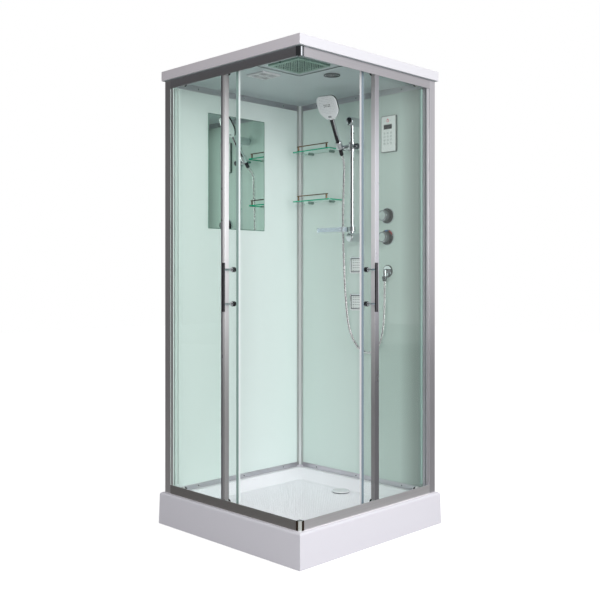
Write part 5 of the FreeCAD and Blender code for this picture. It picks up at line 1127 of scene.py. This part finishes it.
class CABIN_OT_bar(CabinOperator, bpy.types.Operator):
    """Slide bar, slider, hand shower, soap dish and shelves"""
    bl_idname = "cabin.bar"
    bl_label = "Bar, hand shower, dish and shelves"

    def execute(self, context):
        # The clamp knob's chrome is dimmed: painted reflection.
        for node, key, body, edge in (("slide_bar", "chrome", "root", 0.0015),
                                      ("slider_clamp", "chrome", "slider", 0.001),
                                      ("clamp_knob", "chrome_painted_dim_reflection", "clamp_knob", 0.0015),
                                      ("handset_holder", "chrome", "handset", 0.001)):
            refined(node, node + "_drawn", key, body, edge, segments=3)
        barrel = softened([(0.0, -0.056), (0.0125, -0.056), (0.0145, -0.052), (0.0145, 0.019), (0.012, 0.023),
                           (0.0, 0.023)], 0.002)
        piece("clamp_barrel", turned(bmesh.new(), barrel, Vector((0.0, 0.368, 1.829)), axis="x"), ["chrome"],
              "slider")
        self.hand_shower()
        dish = refined("soap_dish", "soap_dish_drawn", "clear_acrylic", "soap_dish", 0.0006)
        split_finish(dish, "chrome", lambda c, n: c.x > -0.020)
        clamp = softened([(0.0113, 1.4012), (0.0178, 1.4012), (0.0188, 1.404), (0.0188, 1.411),
                          (0.0172, 1.4125), (0.0188, 1.414), (0.0188, 1.4222), (0.0178, 1.425),
                          (0.0113, 1.425)], 0.001)
        piece("soap_dish_clamp", turned(bmesh.new(), clamp, Vector((0.004, 0.368, 0)), closed=True), ["chrome"],
              "soap_dish")
        shelves = refined("shelf_glasses", "shelf_glasses_drawn", "shelf_glass", "root", 0)
        split_finish(shelves, "shelf_edge", lambda c, n: abs(n.z) < 0.9)
        fittings = refined("shelf_fittings", "shelf_fittings_drawn", "gallery_metal", "root", 0.0006)
        split_finish(fittings, "clip_metal",
                     lambda c, n: c.y > 0.40 or min(abs(c.z - 1.572), abs(c.z - 1.834)) < 0.009)
        return {"FINISHED"}

    def hand_shower(self):
        """The hand shower, laid out upright about its holder's middle and then turned into its place."""
        foot = Matrix.Translation(Vector((-60, 344, 1836)) * MM)
        hand = foot @ Matrix.Rotation(math.radians(11), 4, "Z") @ Matrix.Rotation(math.radians(30), 4, "X")
        back = hand.inverted()
        right = [(0, 147.5), (16, 147.5), (25, 149.5), (36, 160), (47, 172.5), (54.5, 184), (58.3, 196),
                 (59, 210), (59, 238), (56.5, 252), (49.5, 263.5), (38, 270.3), (25, 272), (0, 272)]
        outline = [Vector((a, b)) * MM for a, b in right] + [Vector((-a, b)) * MM for a, b in right[-2:0:-1]]
        middle = Vector((0, 0.214))
        levels = [(0.0100, 0.72), (0.0085, 0.88), (0.0045, 0.975), (-0.001, 1.0), (-0.0055, 0.99),
                  (-0.0085, 0.95), (-0.0098, 0.88), (-0.0108, 0.6)]
        rings = [[hand @ Vector((p.x, height, p.y)) for p in (middle.lerp(q, share) for q in outline)]
                 for height, share in levels]
        tips = [[hand @ Vector((0, height, middle.y))] for height in (0.0105, -0.0112)]
        bm = loft(bmesh.new(), [tips[0], *rings, tips[1]])
        grip = [(-0.008, 11.0, 10.5), (0.02, 11.8, 11.0), (0.06, 12.4, 11.3), (0.10, 12.3, 10.8),
                (0.13, 12.6, 10.0), (0.147, 14.0, 9.0), (0.158, 17.0, 8.0)]
        turns = [WHOLE_TURN * k / 32 for k in range(32)]
        loft(bm, [[hand @ Vector((math.cos(turn) * a * MM, math.sin(turn) * b * MM, z)) for turn in turns]
                  for z, a, b in grip])
        nut = [(0.0, -0.047), (0.0088, -0.047), (0.0102, -0.0455), (0.0102, -0.024), (0.0094, -0.022),
               (0.0094, -0.02), (0.0108, -0.018), (0.0108, -0.007), (0.0, -0.007)]
        turned(bm, nut, Vector((0, 0, 0)), sides=24, placed=hand)
        # The hand shower's body is darkened chrome: painted reflection.
        shower = piece("handset_drawn", bm, ["chrome_painted_dark_reflection"], "handset", ["handset"], crease=50)
        split_finish(shower, "white_plastic",
                     lambda c, n: (back @ c).y < -0.005 and (back @ c).z > 0.15 and (back.to_3x3() @ n).y < 0)
        split_finish(shower, "chrome", lambda c, n: abs((back @ c).x) > 0.0095 and 0 < (back @ c).z < 0.147)
        facing = tuple((hand @ Matrix.Rotation(SQUARE, 4, "X")).to_euler())
        for wide, deep, radius, gap, reach, key in ((0.096, 0.096, 0.0013, 0.017, 0.046, "grey_plastic"),
                                                    (0.0320, 0.0080, 0.0030, 0.0, 9.0, "display")):
            field = stud_field("handset_nozzles_" + key, key, wide, deep, 0.0080, radius, radius * 0.7, 0.0013,
                               hand @ Vector((0, -0.0104, 0.222)), Gap_Radius=gap, Reach=reach, Turn=facing)
            settle(field, "handset")
        refined("spray_button", "spray_button_drawn", "grey_plastic", "spray_button", 0.0008)
        collar = [(0.0128, -0.012), (0.0175, -0.012), (0.0185, -0.010), (0.0192, 0.021), (0.0180, 0.024),
                  (0.0132, 0.024)]
        piece("holder_collar", turned(bmesh.new(), collar, Vector((0, 0, 0)), placed=hand, closed=True),
              ["chrome"], "handset")


def seen_directly(tree):
    """A mask of rays that come from the camera, straight or through glass, and the Light Path's outputs."""
    path = wire(tree, "ShaderNodeLightPath").outputs
    straight = figure(tree, "LESS_THAN", figure(tree, "ADD", path["Glossy Depth"], path["Diffuse Depth"]), 0.5)
    through = figure(tree, "MULTIPLY", path["Is Transmission Ray"], straight)
    return figure(tree, "MAXIMUM", path["Is Camera Ray"], through), path


class CABIN_OT_stage(CabinOperator, bpy.types.Operator):
    """Pale floor, soft lights, the world and the camera"""
    bl_idname = "cabin.stage"
    bl_label = "Stage"

    def execute(self, context):
        scene = context.scene
        studio = scene.cabin_studio
        self.ground(scene)
        self.surroundings(scene, studio)
        for name, place, aim, size, power in (
                ("key_light", (4.3, 0.2, 1.9), (0, 0, 0.9), 2.6, studio.key_power),
                ("fill_light", (0.9, -4.6, 1.4), (0, 0, 1.0), 2.6, studio.fill_power),
                ("front_light", (2.6, -2.6, 2.7), (-0.2, 0.2, 1.1), 1.6, studio.fill_power * 0.9)):
            lamp = bpy.data.lights.new(name, "AREA")
            lamp.shape = "SQUARE"
            lamp.size = size
            lamp.energy = power
            holder = bpy.data.objects.new(name, lamp)
            holder.location = place
            holder.rotation_euler = (Vector(aim) - Vector(place)).to_track_quat("-Z", "Y").to_euler()
            holder.visible_glossy = name == "key_light"
            scene.collection.objects.link(holder)

        camera = bpy.data.cameras.new("photograph_camera")
        camera.lens = studio.lens
        camera.sensor_width = 36
        camera.shift_y = studio.frame_shift
        camera.clip_end = 60
        eye = bpy.data.objects.new("photograph_camera", camera)
        eye.location = studio.camera_place
        eye.rotation_euler = (SQUARE, 0, SQUARE / 2)
        scene.collection.objects.link(eye)
        scene.camera = eye
        scene.view_settings.view_transform = "Standard"
        return {"FINISHED"}

    def ground(self, scene):
        """A floor that is nearly white where the camera sees it and grey in what it lights."""
        floor = bpy.data.meshes.new("studio_floor")
        bm = bmesh.new()
        half = 14
        bm.faces.new([bm.verts.new((x * half, y * half, 0)) for x, y in ((-1, -1), (1, -1), (1, 1), (-1, 1))])
        bm.to_mesh(floor)
        bm.free()
        material = surface("Pale studio floor", (0.6, 0.6, 0.6), 0.9, specular_ior_level=0.0,
                           emission_color=(1, 1, 1, 1))
        tree = material.node_tree
        given = tree.nodes["Principled BSDF"].inputs
        seen = seen_directly(tree)[0]
        lead(tree, figure(tree, "MULTIPLY", seen, 0.77), given["Emission Strength"])
        lead(tree, spread(tree, seen, 0.0, 1.0, 0.4, 0.6), given["Base Color"])
        floor.materials.append(material)
        ground = bpy.data.objects.new("studio_floor", floor)
        scene.collection.objects.link(ground)

    def surroundings(self, scene, studio):
        """White all round for the camera, a dark and a bright side with a stripe for what metal reflects."""
        world = bpy.data.worlds.new("Studio")
        world.use_nodes = True
        scene.world = world
        tree = world.node_tree
        tree.nodes.clear()
        seen, path = seen_directly(tree)
        place = wire(tree, "ShaderNodeTexCoord").outputs["Generated"]
        side = vectors(tree, "DOT_PRODUCT", place, (0.7071, 0.7071, 0)).outputs["Value"]

        def along_side(low, high, weak, strong):
            return spread(tree, side, low, high, weak, strong, kind="SMOOTHSTEP")
        lit = along_side(-0.6, 0.3, 0.45 * studio.surround, studio.surround)
        reflected = along_side(0.1, 0.4, studio.reflected_dark, studio.reflected_bright)
        stripe = figure(tree, "MAXIMUM", along_side(0.42, 0.5, 1, 0.12), along_side(0.58, 0.66, 0, 1))
        mirrored = figure(tree, "MULTIPLY", reflected, stripe)
        strength = wire(tree, "ShaderNodeMix", {0: path["Is Glossy Ray"], 2: lit, 3: mirrored})
        around = wire(tree, "ShaderNodeBackground", {"Strength": strength})
        plain = wire(tree, "ShaderNodeBackground", {"Color": (1, 1, 1, 1), "Strength": 1.0})
        mix = wire(tree, "ShaderNodeMixShader", {0: seen, 1: around, 2: plain})
        lead(tree, mix, wire(tree, "ShaderNodeOutputWorld").inputs["Surface"])


class CABIN_PT_panel(bpy.types.Panel):
    """The cabin's groups, colours and sizes"""
    bl_idname = "CABIN_PT_panel"
    bl_label = "Shower cabin"
    bl_space_type = "VIEW_3D"
    bl_region_type = "UI"
    bl_category = "Shower cabin"

    def draw(self, context):
        for settings in (context.scene.cabin_colours, context.scene.cabin_sizes, context.scene.cabin_studio):
            box = self.layout.box()
            for key in settings.bl_rna.properties.keys():
                if key not in ("rna_type", "name"):
                    box.prop(settings, key)
        for operator in OPERATORS:
            self.layout.operator(operator.bl_idname)


GROUPS_OF_SETTINGS = {"cabin_colours": CabinColours, "cabin_sizes": CabinSizes, "cabin_studio": CabinStudio}
OPERATORS = (CABIN_OT_hose, CABIN_OT_tray, CABIN_OT_profiles, CABIN_OT_wall_screws, CABIN_OT_glass,
             CABIN_OT_doors, CABIN_OT_roof, CABIN_OT_controls, CABIN_OT_bar, CABIN_OT_stage)


def register():
    for name, settings in GROUPS_OF_SETTINGS.items():
        bpy.utils.register_class(settings)
        setattr(bpy.types.Scene, name, PointerProperty(type=settings))
    for kind in (*OPERATORS, CABIN_PT_panel):
        bpy.utils.register_class(kind)


def unregister():
    for kind in (CABIN_PT_panel, *reversed(OPERATORS)):
        bpy.utils.unregister_class(kind)
    for name, settings in GROUPS_OF_SETTINGS.items():
        delattr(bpy.types.Scene, name)
        bpy.utils.unregister_class(settings)


def main():
    register()
    for operator in OPERATORS:
        group, name = operator.bl_idname.split(".")
        getattr(getattr(bpy.ops, group), name)()
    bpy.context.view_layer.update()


if __name__ == "__main__":
    main()
